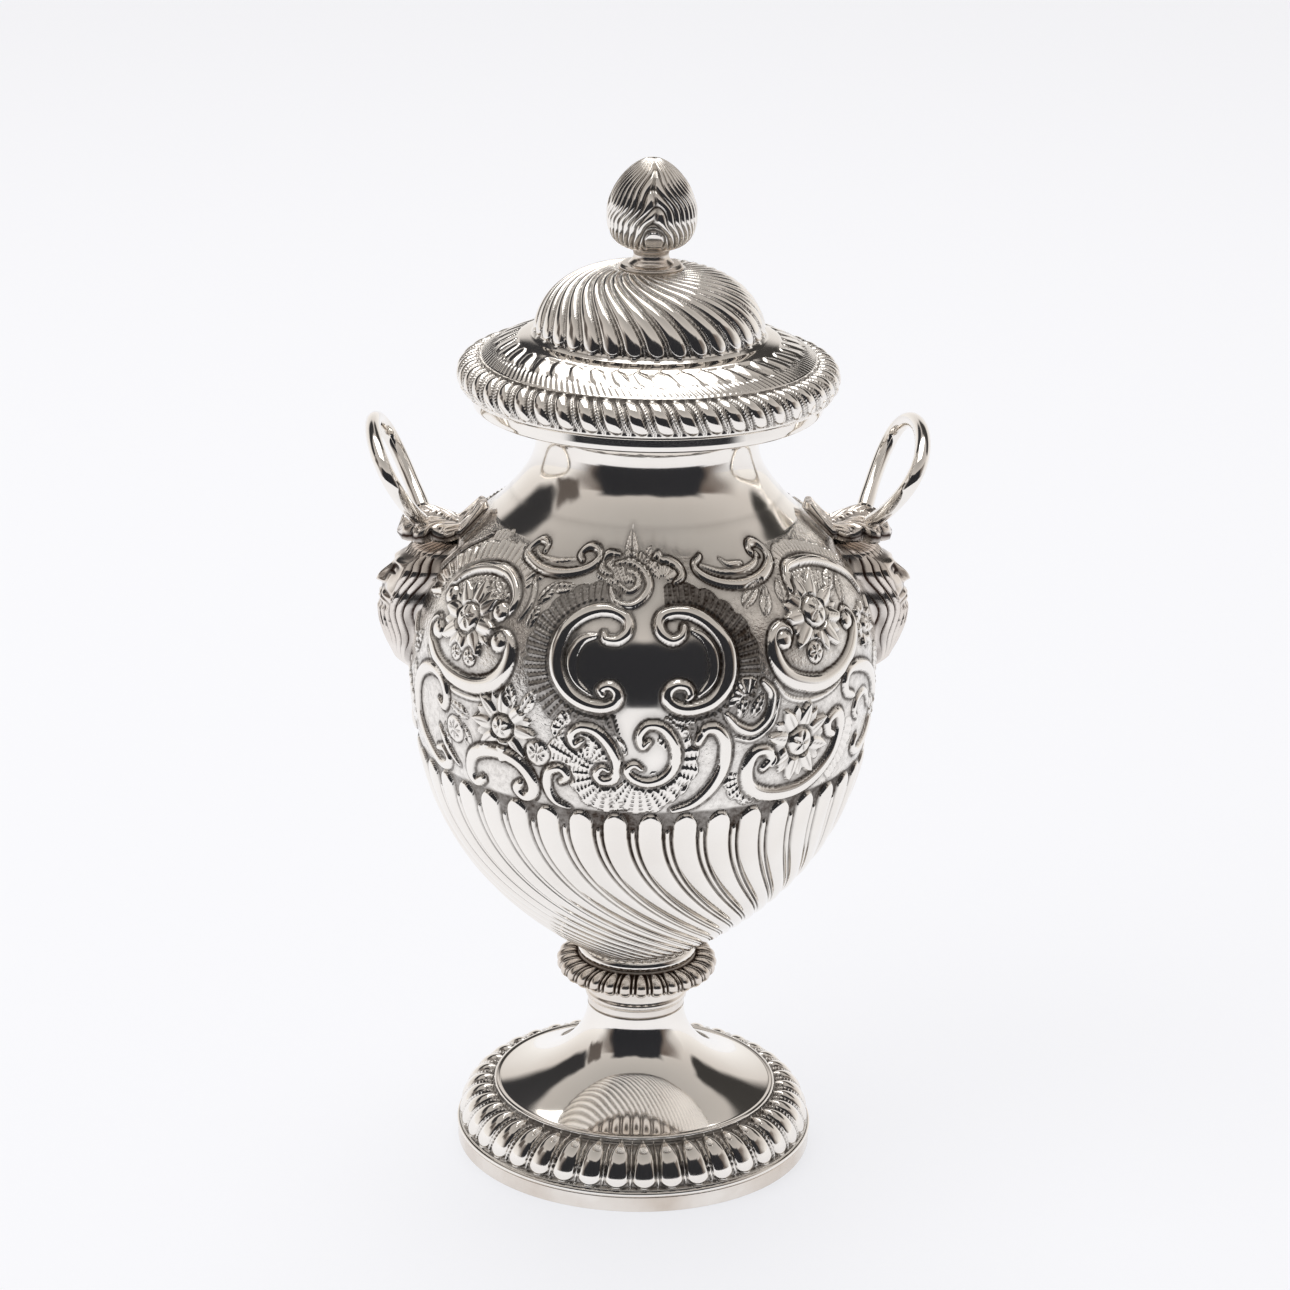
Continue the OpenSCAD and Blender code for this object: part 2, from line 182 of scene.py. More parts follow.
def carry_round(profile, turn, relief=0.0, closed=False):
    """Grid of points: radius and height from the profile, moved by relief along its normal."""
    n = profile_normals(profile, closed)
    turn = np.atleast_2d(turn)
    r = profile[:, :1] + n[:, :1] * relief + 0 * turn
    z = profile[:, 1:] + n[:, 1:] * relief + 0 * turn
    return np.stack([r * np.sin(turn), -r * np.cos(turn), z], -1)


def turned(name, profile, cols, relief=None, hollow=None, closed=True):
    """A ring from a closed profile, or a solid whose open profile starts and ends on the axis."""
    turn = np.linspace(-PI, PI, cols, endpoint=False)
    lift = np.zeros((len(profile), cols)) if relief is None else relief(turn)
    p = carry_round(profile, turn, lift, closed)
    n = grid_normals(p, closed, True)
    dark = np.zeros(lift.shape) if hollow is None else hollow(turn)
    if closed:
        faces = [grid_faces(len(profile), cols, True, True)]
        return put_mesh(name, p.reshape(-1, 3), faces, n.reshape(-1, 3), dark.reshape(-1))
    poles = np.array([[0, 0, profile[0, 1]], [0, 0, profile[-1, 1]]])
    ups = np.array([[0, 0, -1.0], [0, 0, 1.0]])
    return capped(name, p[1:-1], n[1:-1], poles, ups, np.append(dark[1:-1].reshape(-1), [0, 0]))


def blur(h, size, wrap_cols=True):
    """The mean of a grid over a square of size by size, twice, for a soft average."""
    k = max(1, int(size)) | 1
    for _ in range(2):
        for axis, wrap in ((0, False), (1, wrap_cols)):
            pad = [(0, 0), (0, 0)]
            pad[axis] = (k // 2 + 1, k // 2)
            c = np.cumsum(np.pad(h, pad, mode="wrap" if wrap else "edge"), axis)
            h = (np.take(c, np.arange(k, c.shape[axis]), axis)
                 - np.take(c, np.arange(0, c.shape[axis] - k), axis)) / k
    return h


def recess(h, size, depth, wrap_cols=True):
    """How far each point lies below its surroundings, from 0 to 1."""
    return np.clip((blur(h, size, wrap_cols) - h) / depth, 0, 1)


# %% [markdown]
# ## The bowl's outline
# The outline climbs from the seat on the stem, swells to the belly, draws in to the neck and
# flares to the mouth. Distances along it are measured from the seat, as a chaser would lay a
# tape on the metal, because the ornament is set out on the sheet and not by height.

# %% The outside of the bowl as one line with its length along it
SEAT_R, BELLY_R, NECK_R, MOUTH_R = 11.2, 45.7, 21.2, 31.4
BELLY_H, SHOULDER_H, WALL = 63, 41, 0.9
Z_BELLY = round(Z_SEAT + BELLY_H, 3)
Z_NECK = round(Z_BELLY + SHOULDER_H, 3)
lower_curve = bez([[SEAT_R, Z_SEAT], [BELLY_R * 0.82, Z_SEAT + BELLY_H * 0.265],
                   [BELLY_R, Z_BELLY - BELLY_H * 0.45], [BELLY_R, Z_BELLY]], 500)
shoulder_curve = bez([[BELLY_R, Z_BELLY], [BELLY_R, Z_BELLY + SHOULDER_H * 0.634],
                      [NECK_R, Z_NECK - SHOULDER_H * 0.36], [NECK_R, Z_NECK]], 500)
lip_curve = bez([[NECK_R, Z_NECK], [NECK_R, Z_NECK + 5.04],
                 [NECK_R + 4.27, Z_MOUTH - 0.4], [MOUTH_R, Z_MOUTH]], 200)
bowl_line = np.vstack([lower_curve, shoulder_curve[1:], lip_curve[1:]])
bowl_tape = np.concatenate([[0], np.cumsum(np.linalg.norm(np.diff(bowl_line, axis=0), axis=1))])


def bowl_at(s):
    """Radius and height of the bowl's outside at the distance s from its seat."""
    return np.stack([np.interp(s, bowl_tape, bowl_line[:, k]) for k in (0, 1)], -1)


print("length of the bowl's outline in mm:", round(float(bowl_tape[-1]), 1))

# %% [markdown]
# ## The sheet that is chased
# The ornament lives on a flat sheet: u is the way round in mm at the belly, s is the distance
# up from the seat. One sheet covers half the bowl, and it is used twice, front and back, as a
# workshop would repeat one drawing. Four arrays gather the work: raised metal, sunk lines,
# matted ground and metal that stays dark.

# %% The grid of the whole bowl, with columns that fit the lobes
LOBES = 41
COLS = LOBES * 32
HALF = COLS // 2
ROUND = 2 * PI * BELLY_R
SHIFT = 3.19
S_FINE, S_TOP = 50.0, 114.0
rows_lobed = np.linspace(0, S_FINE, 60)
rows_chased = np.linspace(S_FINE, S_TOP, 222)
turn_all = np.linspace(-PI, PI, COLS, endpoint=False)
u_half = (np.arange(HALF) - HALF // 2) * ROUND / COLS + SHIFT
SHEET = (len(rows_chased), len(u_half))
raised, sunk, dark = np.zeros(SHEET), np.zeros(SHEET), np.zeros(SHEET)
matted = np.ones(SHEET)
print("chased sheet:", SHEET, "points, step", round(ROUND / COLS, 3), "mm")


def window(u0, u1, s0, s1):
    """Rows and columns of the sheet inside a box, with local u and s. The sheet is endless in u."""
    mid, reach = (u0 + u1) / 2, (u1 - u0) / 2
    off = (u_half - mid + ROUND / 4) % (ROUND / 2) - ROUND / 4
    cols = np.nonzero(np.abs(off) <= reach)[0]
    rows = np.nonzero((rows_chased >= s0) & (rows_chased <= s1))[0]
    return np.ix_(rows, cols), mid + off[cols][None, :], rows_chased[rows][:, None]


def nearest(line, u, s):
    """Distance from each point to a line, which side it is on, and how far along it is."""
    a, b = line[:-1], line[1:]
    ab = b - a
    size = np.linalg.norm(ab, axis=1)
    run = np.concatenate([[0], np.cumsum(size)])
    pu, ps = (u + 0 * s).ravel()[:, None], (s + 0 * u).ravel()[:, None]
    t = np.clip(((pu - a[:, 0]) * ab[:, 0] + (ps - a[:, 1]) * ab[:, 1]) / size ** 2, 0, 1)
    du, ds = pu - a[:, 0] - t * ab[:, 0], ps - a[:, 1] - t * ab[:, 1]
    d = np.hypot(du, ds)
    k = d.argmin(1)
    i = np.arange(len(k))
    side = np.sign(ab[k, 0] * ds[i, k] - ab[k, 1] * du[i, k])
    shape = (s + 0 * u).shape
    along = (run[k] + t[i, k] * size[k]) / run[-1]
    return d[i, k].reshape(shape), side.reshape(shape), along.reshape(shape), run[-1]

# %% [markdown]
# ## Scrolls
# A scroll is a raised ribbon that thins towards its curled ends. Its section is a round back
# with a sunk line on each side, because the chaser first traces both edges and then raises
# the metal between them. Knobs close the ends of the bolder ones.

# %% Raise a scroll along a line
def scroll(points, width=1.4, height=0.9, thin=0.45, line=0.32, knobs=0.0):
    """Raised ribbon: a round back of half the given width, thinner towards both ends."""
    path = smooth_line(points, 6)
    pad = width + 1.5
    box, u, s = window(path[:, 0].min() - pad, path[:, 0].max() + pad,
                       path[:, 1].min() - pad, path[:, 1].max() + pad)
    d, _, q, _ = nearest(path, u, s)
    half = width * (thin + (1 - thin) * np.sin(PI * np.clip(q, 0, 1)) ** 0.7)
    lift = height * (0.55 + 0.45 * half / width) * dome(d / half) ** 1.1
    cut = line * np.exp(-((d - half - 0.28) / 0.36) ** 2)
    raised[box] = np.maximum(raised[box], lift)
    sunk[box] = np.maximum(sunk[box] * (lift <= 0.02), cut * (lift < 0.02))
    matted[box] *= d > half
    dark[box] *= d > half
    if knobs:
        for end in (path[0], path[-1]):
            button(end[0], end[1], knobs, height * 1.1)


def button(u0, s0, radius, height=0.7, points=0):
    """A round boss with a sunk line about it, and a star of cuts if points is more than 0."""
    pad = radius + 1.2
    box, u, s = window(u0 - pad, u0 + pad, s0 - pad, s0 + pad)
    d, a = np.hypot(u - u0, s - s0), np.arctan2(s - s0, u - u0)
    lift = height * dome(d / radius) ** 0.9
    dark[box] *= d > radius
    if points:
        star = np.abs(np.cos(points * a / 2)) ** 8
        star = star * step(0.2, 0.5, d) * step(radius * 0.85, radius * 0.5, d)
        lift = lift - 0.35 * star
        dark[box] = np.maximum(dark[box], star)
    inside = d < radius
    raised[box] = np.where(inside, np.maximum(lift, 0.05), raised[box])
    edge_line = 0.35 * np.exp(-((d - radius - 0.2) / 0.25) ** 2)
    sunk[box] = np.where(inside, 0, np.maximum(sunk[box], edge_line))
    matted[box] *= ~inside

# %% [markdown]
# ## Flowers, leaves and shells
# A flower is worked out in polar form: the angle picks a petal, the distance tells how far out
# along it a point lies. Each petal is pointed, with a round back, a vein and a dark line beside
# it. A second, lower row shows between the first, and a boss with cuts fills the middle. A shell
# is a fan of flutes, and rows of small punched dents run along some of them.

# %% Flower, leaf, fan and feathered edge
def flower(u0, s0, radius, petals, boss, turn=0.0, height=1.1):
    """Pointed petals about (u0, s0). off is 0 on a petal's middle and 1 half way to the next."""
    pad = radius + 1
    box, u, s = window(u0 - pad, u0 + pad, s0 - pad, s0 + pad)
    d, a = np.hypot(u - u0, s - s0), np.arctan2(s - s0, u - u0) - turn
    total, deep = np.zeros(d.shape), np.zeros(d.shape)
    taken = d < boss + 0.3
    for start, reach, lift in ((0.0, 1.0, 1.0), (0.5, 0.92, 0.45)):
        off = 2 * np.abs((a * petals / (2 * PI) + start) % 1 - 0.5)
        widest = np.clip((1 - d / (radius * reach)) / 0.50, 0, 1) ** 0.7 * 0.92
        across = off / np.maximum(widest, 1e-3)
        petal = (off < widest) & ~taken
        cup = np.sqrt(np.clip(1 - 0.85 * across ** 2, 0, 1)) * (0.5 + 0.5 * d / radius)
        total = np.where(petal, height * lift * np.maximum(cup, 0.12), total)
        vein = np.exp(-(d * off * PI / petals / 0.13) ** 2)
        vein = vein * step(0.95, 0.7, d / radius) * step(boss, boss + 1.5, d)
        deep = np.where(petal, 0.8 * vein * lift, deep)
        near = np.exp(-((off - widest) * d * PI / petals / 0.22) ** 2)
        near = near * (d < radius * reach) * (d > boss) * ~petal
        deep = np.maximum(deep, near * (total < 0.1))
        taken |= petal
    cuts = np.abs(np.cos(2.5 * a)) ** 12 * step(boss, boss * 0.3, d)
    middle = height * 1.35 * dome(d / boss) ** 0.7 - 0.4 * cuts
    total = np.where(d < boss, np.maximum(middle, 0.1), total)
    moat = np.exp(-((d - boss - 0.15) / 0.28) ** 2)
    total = total * (1 - 0.85 * moat)
    whole = (total > 0.04) | (deep > 0.3)
    dark[box] = np.maximum(np.where(whole, 0, dark[box]), np.maximum(moat, np.maximum(deep, 0.6 * cuts)))
    raised[box] = np.where(whole, total, raised[box])
    sunk[box] *= ~whole
    matted[box] *= ~whole


def leaf(u0, s0, angle, length, width, height=0.8):
    """A pointed leaf from (u0, s0): a round back, a sunk midrib and slanting veins."""
    pad = length + 1
    box, u, s = window(u0 - pad, u0 + pad, s0 - pad, s0 + pad)
    ca, sa = math.cos(angle * DEG), math.sin(angle * DEG)
    x = ((u - u0) * ca + (s - s0) * sa) / length
    y = -(u - u0) * sa + (s - s0) * ca
    half = width * np.sin(PI * np.clip(x, 0, 1) ** 0.8) ** 0.8 + 1e-3
    inside = (x > 0) & (x < 1) & (np.abs(y) < half)
    lift = height * dome(y / half) ** 0.7 - 0.3 * np.exp(-(y / 0.25) ** 2)
    lift -= 0.10 * (1 + np.sin((x * length - 1.2 * np.abs(y)) * 2 * PI / 1.3))
    raised[box] = np.where(inside, np.maximum(lift, 0.04), raised[box])
    dark[box] = np.where(inside, 0.8 * np.exp(-(y / 0.25) ** 2), dark[box])
    edge = np.abs(np.abs(y) - half)
    sunk[box] = np.maximum(sunk[box], 0.35 * np.exp(-(edge / 0.3) ** 2) * (x > 0) * (x < 1) * ~inside)
    matted[box] *= ~inside


def shell(u0, s0, a0, a1, r0, r1, flutes, height=0.45, dots=0.85):
    """A fan of flutes between two angles and two radii, with dents along it every dots mm."""
    a0, a1 = a0 * DEG, a1 * DEG
    box, u, s = window(u0 - r1 - 1, u0 + r1 + 1, s0 - r1 - 1, s0 + r1 + 1)
    d, a = np.hypot(u - u0, s - s0), np.arctan2(s - s0, u - u0)
    q = ((a - a0) % (2 * PI)) / (a1 - a0)
    scallop = r1 * (0.93 + 0.07 * np.abs(np.sin(PI * flutes * q / 2)))
    inside = (q > 0) & (q < 1) & (d > r0) & (d < scallop)
    ribs = 0.5 + 0.5 * np.cos(2 * PI * flutes * q)
    lift = height * (0.35 + 0.45 * ribs + 0.3 * d / r1)
    if dots:
        dent = step(0.15, 0.75, np.cos(2 * PI * d / dots)) * step(0.35, 0.8, 1 - ribs)
        lift = lift - 0.22 * dent
        dark[box] = np.where(inside, np.maximum(dark[box], 0.85 * dent), dark[box])
    raised[box] = np.where(inside & (raised[box] < 0.3), np.maximum(lift, 0.04), raised[box])
    rim = np.exp(-((d - scallop) / 0.3) ** 2) * (q > 0) * (q < 1)
    sunk[box] = np.maximum(sunk[box], 0.4 * rim * (raised[box] < 0.05))
    matted[box] *= ~inside


def feathers(points, side, inner, outer, pitch, height=0.5, dots=0.0, shade=0.0):
    """Short flutes across a band that runs beside a line, with a scalloped outer edge."""
    path = smooth_line(points, 6)
    pad = outer + 1
    box, u, s = window(path[:, 0].min() - pad, path[:, 0].max() + pad,
                       path[:, 1].min() - pad, path[:, 1].max() + pad)
    d, which, q, size = nearest(path, u, s)
    run = q * size
    reach = outer * (0.86 + 0.14 * np.abs(np.sin(PI * run / (3 * pitch))))
    inside = (which == side) & (d > inner) & (d < reach) & (q > 0.004) & (q < 0.996)
    x = (d - inner) / (reach - inner)
    ribs = 0.5 + 0.5 * np.cos(2 * PI * (run / pitch + 0.18 * x))
    lift = height * (0.3 + 0.7 * ribs) * (0.45 + 0.55 * x)
    if dots:
        dent = step(0.1, 0.7, np.cos(2 * PI * d / dots)) * step(0.2, 0.7, 1 - ribs)
        dark[box] = np.where(inside, np.maximum(dark[box], dent), dark[box])
        lift = lift - 0.15 * dent
    free = inside & (raised[box] < 0.12)
    raised[box] = np.where(free, np.maximum(lift, 0.03), raised[box])
    # shade paints the whole band dark, the raised ribs as well as the dents.
    dark[box] = np.where(free, np.maximum(dark[box], shade), dark[box])
    rim = (which == side) * np.exp(-((d - reach - 0.1) / 0.25) ** 2) * (q > 0.004) * (q < 0.996)
    sunk[box] = np.maximum(sunk[box], 0.35 * rim * (raised[box] < 0.05))
    matted[box] *= ~free

# %% [markdown]
# ## Setting out the chasing
# The drawing has a mirror-bright cartouche in front between two C-scrolls, a flower in a ring of
# scrolls on each side of it, and smaller flowers and scrolls below. Feathered bands and punched
# shells fill what is left. The shells come first, since the scrolls lie over them.

# %% Fields that stay plain, and the shells under the scrolls
def plain(u0, s0, reach_u, reach_s):
    """An oval field without matting."""
    box, u, s = window(u0 - reach_u * 1.2, u0 + reach_u * 1.2, s0 - reach_s * 1.2, s0 + reach_s * 1.2)
    matted[box] *= step(1.0, 1.12, np.hypot((u - u0) / reach_u, (s - s0) / reach_s))


for field in ((0, 87.5, 14.5, 9.5), (0, 74, 7, 9), (-19, 107, 8, 3), (24, 106, 9, 3.5),
              (-1, 100, 22, 4), (0, 112, 80, 4)):
    plain(*field)
shell(-10, 66, 20, 200, 1.5, 8.5, 9, 0.4)
shell(-6, 64.5, 150, 300, 1.0, 8.0, 9, 0.4)
shell(-0.5, 66, 205, 345, 2.5, 9.8, 11, 0.4)
shell(2, 67.5, -60, 75, 3.5, 9.2, 9, 0.4)
shell(-13, 72.5, 100, 250, 0.8, 4.2, 6, 0.4)
shell(22.5, 63.5, 175, 300, 1.5, 6.5, 8, 0.4)
shell(-3.5, 99.5, 40, 155, 3.0, 10.0, 10, 0.5, 0.8)
shell(4.5, 103, 10, 150, 1.0, 4.8, 6, 0.4, 0)
shell(20.5, 79, 60, 200, 0.8, 4.0, 5, 0.4, 0)
shell(6, 73, 30, 100, 1.2, 5.0, 6, 0.35)

# %% [markdown]
# ## The cartouche
# Two bold C-scrolls face each other. Each has a polished hollow along its inside and a
# feathered band outside it with rows of dents, the whole band painted dark so that the smooth middle looks
# bright.

# %% The cartouche and its feathered bands
feathers([(-5, 96.8), (-10, 97.4), (-14.5, 95.8), (-18, 91.5), (-18.8, 86.5), (-17.5, 81.5),
          (-13.5, 78), (-8, 76.6), (-5, 77.2)], -1, 0.2, 5.0, 1.15, 0.55, 0.85, 0.85)
feathers([(4.5, 97.3), (10.5, 97.2), (14.8, 94.8), (18.2, 90.4), (18.8, 85.5), (17.3, 80.5),
          (13.8, 77.4), (8.5, 76.5), (5, 77)], 1, 0.2, 4.9, 1.15, 0.55, 0.85, 0.85)
scroll([(-9, 91.5), (-12.3, 90.2), (-14, 86.5), (-13, 82.5), (-9.5, 79.8)], 1.1, 0.5, 0.2, 0.2)
scroll([(9.5, 93), (12.6, 91), (14.1, 87.3), (13.6, 83.3), (11.3, 80.7), (9.8, 80.2)], 1.1, 0.5, 0.2, 0.2)
scroll([(-8, 91.8), (-7.5, 90.8), (-5, 90.8), (-3.2, 92.5), (-3.6, 95), (-6.5, 96.5), (-10, 96.4),
        (-13.5, 94.8), (-16.2, 91.8), (-17.2, 87.5), (-16.5, 83.5), (-14.2, 80.2), (-11, 78.3),
        (-7.5, 77.8), (-5, 78.8), (-4.6, 80.7), (-6, 82), (-7.8, 81.3), (-7.4, 80.2)], 1.5, 1.0, 0.45, 0.5)
scroll([(8.5, 93.5), (8, 91.8), (6, 90.9), (4, 92), (3.2, 94), (4.2, 95.8), (7, 96.5), (10.5, 96),
        (14, 93.8), (16.7, 90), (17.2, 86), (16.2, 82), (13.5, 79), (10, 77.8), (7, 78), (5, 79.4),
        (5, 81.3), (6.5, 82.4), (8.5, 82), (9.2, 80.5), (8.6, 79.8)], 1.5, 1.0, 0.45, 0.5)

# %% [markdown]
# ## The crest and the long scrolls above
# A shell with a curled tip stands over the cartouche. A long, flat scroll runs out from it on
# each side, and everything above stays plain, so the crest makes the edge of the chasing.

# %% Crest, curl and the two long scrolls
leaf(-3.5, 106, 95, 8.0, 1.9, 0.7)
leaf(-6.2, 106.5, 125, 4.0, 1.1, 0.5)
leaf(-0.8, 106.5, 55, 5.0, 1.1, 0.5)
scroll([(-8, 101), (-6.5, 98.5), (-3, 97.7), (0, 99.5), (1.2, 102.5), (-0.5, 105.5), (-4, 107),
        (-7.5, 106.5)], 0.85, 0.55, 0.4, 0.3)
scroll([(-6, 102), (-3.5, 100.6), (-1.5, 102), (-1.9, 104.2), (-4.5, 105)], 0.6, 0.4, 0.4, 0.25)
scroll([(-8.5, 104), (-11, 105), (-11.8, 107), (-10, 108.6), (-7, 108.5)], 0.8, 0.6, 0.4, 0.3)
scroll([(2.5, 108), (3.8, 108.9), (4.5, 107.8), (6.5, 107.5), (9, 106), (9.5, 104), (7.5, 102.5)],
       0.9, 0.6, 0.4, 0.35)
scroll([(-29, 106.8), (-29.5, 108.5), (-32.3, 109), (-34, 107.4), (-34, 105.5), (-31, 104.2),
        (-26, 103), (-20, 103.2), (-15, 104.8), (-12.7, 107), (-13.5, 109.2), (-16.5, 109.5),
        (-18.3, 107.8), (-17, 106.4)], 0.95, 0.65, 0.5, 0.38)
scroll([(-32.3, 107), (-29, 105.6), (-24, 105.4), (-19, 106.4)], 0.45, 0.35, 0.4, 0.2)
scroll([(15.5, 108), (13.4, 106.3), (14.5, 104), (19, 101.8), (25, 101), (31, 102), (35.5, 104.5),
        (36.5, 107), (35, 109), (32.3, 109), (31.3, 107.4), (33, 106.4)], 1.05, 0.65, 0.5, 0.4)
scroll([(15, 106), (20, 104.2), (26, 103.8), (31, 105), (33, 107)], 0.6, 0.4, 0.4, 0.25)
scroll([(21, 107), (23, 105.5), (27, 105.5)], 0.6, 0.4, 0.3, 0.25)

# %% [markdown]
# ## The two large flowers
# Each flower sits in a ring that two scrolls make. The upper scroll has a row of flutes outside
# it, like the edge of a shell, and the lower one is broad and smooth.

# %% The flower on the left with its ring
feathers([(-53, 90), (-53.5, 93.5), (-51.3, 97.5), (-46.5, 100.9), (-41, 102.4), (-36, 102.5),
          (-31.5, 101), (-28.5, 98)], 1, 0.0, 4.6, 1.75, 0.65)
shell(-40, 88.5, 35, 150, 5.5, 11.2, 14, 0.3, 0.9)
flower(-40, 89.5, 8.3, 8, 2.9, 0.3, 1.0)
leaf(-33.5, 96.5, 150, 6, 1.2, 0.5)
button(-41.2, 82.4, 1.5, 0.5, 5)
button(-37.2, 82.4, 1.7, 0.5, 5)
scroll([(-48.5, 90.8), (-50.4, 92.5), (-49.5, 95.5), (-46, 98.6), (-41, 100.4), (-36, 100.5),
        (-32, 98.8), (-29.7, 96), (-30, 93.3), (-32.3, 92)], 1.25, 0.85, 0.5, 0.45)
scroll([(-47.3, 85.2), (-49.2, 86.6), (-51, 85.4), (-50.3, 82.5), (-47, 79.4), (-42, 77.6), (-36, 77.2),
        (-31, 78.7), (-28, 81.8), (-27.2, 85.5), (-28.5, 88), (-30.6, 88.4), (-31.8, 86.8)],
       1.75, 0.95, 0.5, 0.5)
button(-48.6, 92, 1.8, 0.95)
button(-32.1, 92.6, 1.9, 0.95)
button(-48.5, 84.9, 1.9, 1.0)
button(-30.3, 86.9, 1.9, 1.0)
scroll([(-52, 80), (-48, 76.6), (-42, 74.8), (-36, 74.6), (-30, 75.8)], 0.45, 0.3, 0.4, 0.25)
scroll([(-27.5, 101), (-26, 98), (-25.8, 95), (-27, 92)], 0.5, 0.35, 0.4, 0.25)

# %% The flower on the right with its ring
feathers([(37, 101.5), (40, 104.2), (45, 104.8), (50.5, 103.4), (56.5, 100.4), (61.5, 96.3)],
         1, 0.0, 3.0, 1.25, 0.5)
shell(41, 91, 20, 120, 6.5, 11.5, 13, 0.3, 0.9)
flower(40, 92.2, 8.8, 9, 3.2, 0.0, 1.0)
leaf(33, 95.5, 75, 5.5, 1.4, 0.55)
leaf(48, 95, 30, 7, 1.5, 0.55)
leaf(51, 91.5, 50, 7, 1.4, 0.5)
button(37.4, 84.8, 2.1, 0.5, 6)
scroll([(30.5, 88), (31.4, 90), (29.8, 91.1), (27.7, 89.5), (27.2, 86), (28.9, 82.4), (32.5, 80),
        (38, 78.6), (44, 79.5), (48.6, 82), (51.6, 85.5), (51.8, 88.3), (50.2, 89.8), (48.4, 88.8)],
       1.75, 0.95, 0.5, 0.5)
button(29.9, 88.6, 1.8, 1.0)
button(49.6, 88, 1.8, 1.0)
scroll([(36.5, 97.5), (37.2, 100), (39.5, 102.3), (44, 102.7), (50, 101.6), (56, 98.6), (60.2, 95),
        (61.7, 91)], 1.25, 0.85, 0.45, 0.45)
scroll([(26.5, 81.5), (29.5, 77.6), (35.5, 75.8), (41.5, 76.3), (45.5, 78)], 0.45, 0.3, 0.4, 0.25)

# %% [markdown]
# ## The lower flowers and scrolls
# Two smaller flowers stand lower down, each over a C-scroll that opens the other way. Small
# florets, S-scrolls and leaves tie them to the middle. All of it ends where the lobes begin.

# %% Left of the middle
flower(-27.8, 70.9, 7.4, 8, 2.4, 0.35, 1.0)
leaf(-25.5, 75.5, 105, 5.0, 1.2, 0.6)
leaf(-23.5, 74.5, 60, 6.0, 1.3, 0.6)
leaf(-36.5, 70.5, 165, 7.0, 1.2, 0.5)
leaf(-36.5, 64.5, 115, 5.0, 1.1, 0.5)
leaf(-43.5, 61.5, 100, 6.0, 1.2, 0.5)
button(-20.2, 67.2, 2.5, 0.55, 8)
button(-41, 67, 2.6, 0.55, 8)
scroll([(-33.5, 58.8), (-35.5, 57.6), (-37, 59.5), (-36, 63), (-32.5, 65), (-28, 65.5), (-24, 64.2),
        (-21.6, 61), (-21.7, 58.4), (-23.5, 57.4), (-25.2, 58.7), (-24.3, 60)], 1.4, 0.9, 0.55, 0.5)
scroll([(-15.5, 62), (-14.2, 63.2), (-15.5, 64.8), (-17.8, 63.8), (-18.4, 61), (-17, 58), (-14, 56.5)],
       0.95, 0.8, 0.5, 0.45)
scroll([(-11.3, 70.8), (-12.6, 69.9), (-13.3, 71.8), (-11.5, 73.5), (-8.5, 73.1), (-5.8, 70.3),
        (-4.4, 66.6), (-5, 63.8), (-7.1, 63.1), (-8.4, 64.4), (-7.3, 65.9), (-6.1, 65.4)],
       1.05, 0.85, 0.5, 0.45)
scroll([(1.5, 71.5), (0.3, 70.4), (-0.3, 72.5), (1.2, 74.6), (4, 74.2), (6.3, 71), (6.5, 67),
        (4.6, 64.2), (1.5, 63.1), (-1.2, 63.9), (-2.6, 65.6), (-1.2, 66.8), (0.2, 65.9)],
       1.05, 0.85, 0.5, 0.45)

# %% Right of the middle
flower(32.6, 68.2, 7.8, 8, 2.9, 0.1, 1.0)
feathers([(41, 59.5), (46, 64.5), (47.5, 69)], -1, 0.0, 3.4, 1.2, 0.4)
scroll([(11.5, 72.8), (10.8, 71.2), (12.2, 73.5), (14.5, 73.3), (16.2, 70.5), (16, 66), (13.9, 61.8),
        (10.5, 58.6), (6.5, 57.2)], 1.25, 0.9, 0.5, 0.5)
scroll([(24.5, 64.3), (26.2, 66), (25, 67.8), (22.4, 67.6), (21, 64.5), (21.7, 61), (24.5, 58.9),
        (29, 57.9), (34, 58.1), (39, 60), (43, 63.3), (44.9, 67.5), (44.7, 70.3), (43, 71.2), (40.8, 70.2),
        (41, 68.2), (42.5, 67.2)], 1.5, 0.9, 0.5, 0.5)
scroll([(16.3, 76), (18.8, 73.3), (22, 72.2), (25.3, 74.8), (25.8, 79), (24, 81.6)], 1.1, 0.75, 0.4, 0.45)
scroll([(18, 71.3), (22, 70.5), (26, 73), (27.5, 78)], 0.45, 0.3, 0.4, 0.25)
leaf(19, 75, 75, 4.5, 1.1, 0.6)
leaf(21.5, 75, 60, 5.0, 1.1, 0.6)
leaf(27, 94, 60, 6.5, 1.4, 0.55)
leaf(22.5, 96.5, 35, 7.5, 1.4, 0.5)
leaf(29, 97.5, 80, 4.0, 1.0, 0.5)
leaf(-24, 96, 60, 6, 1.4, 0.5)
leaf(-22, 99.5, 10, 6, 1.2, 0.45)
leaf(-24.5, 91, 80, 5, 1.2, 0.5)

# %% [markdown]
# ## The sides under the masks
# The masks and handles cover the upper part of both sides. Below them the same language goes
# on: large scrolls sweep round, and a fluted shell stands between them.

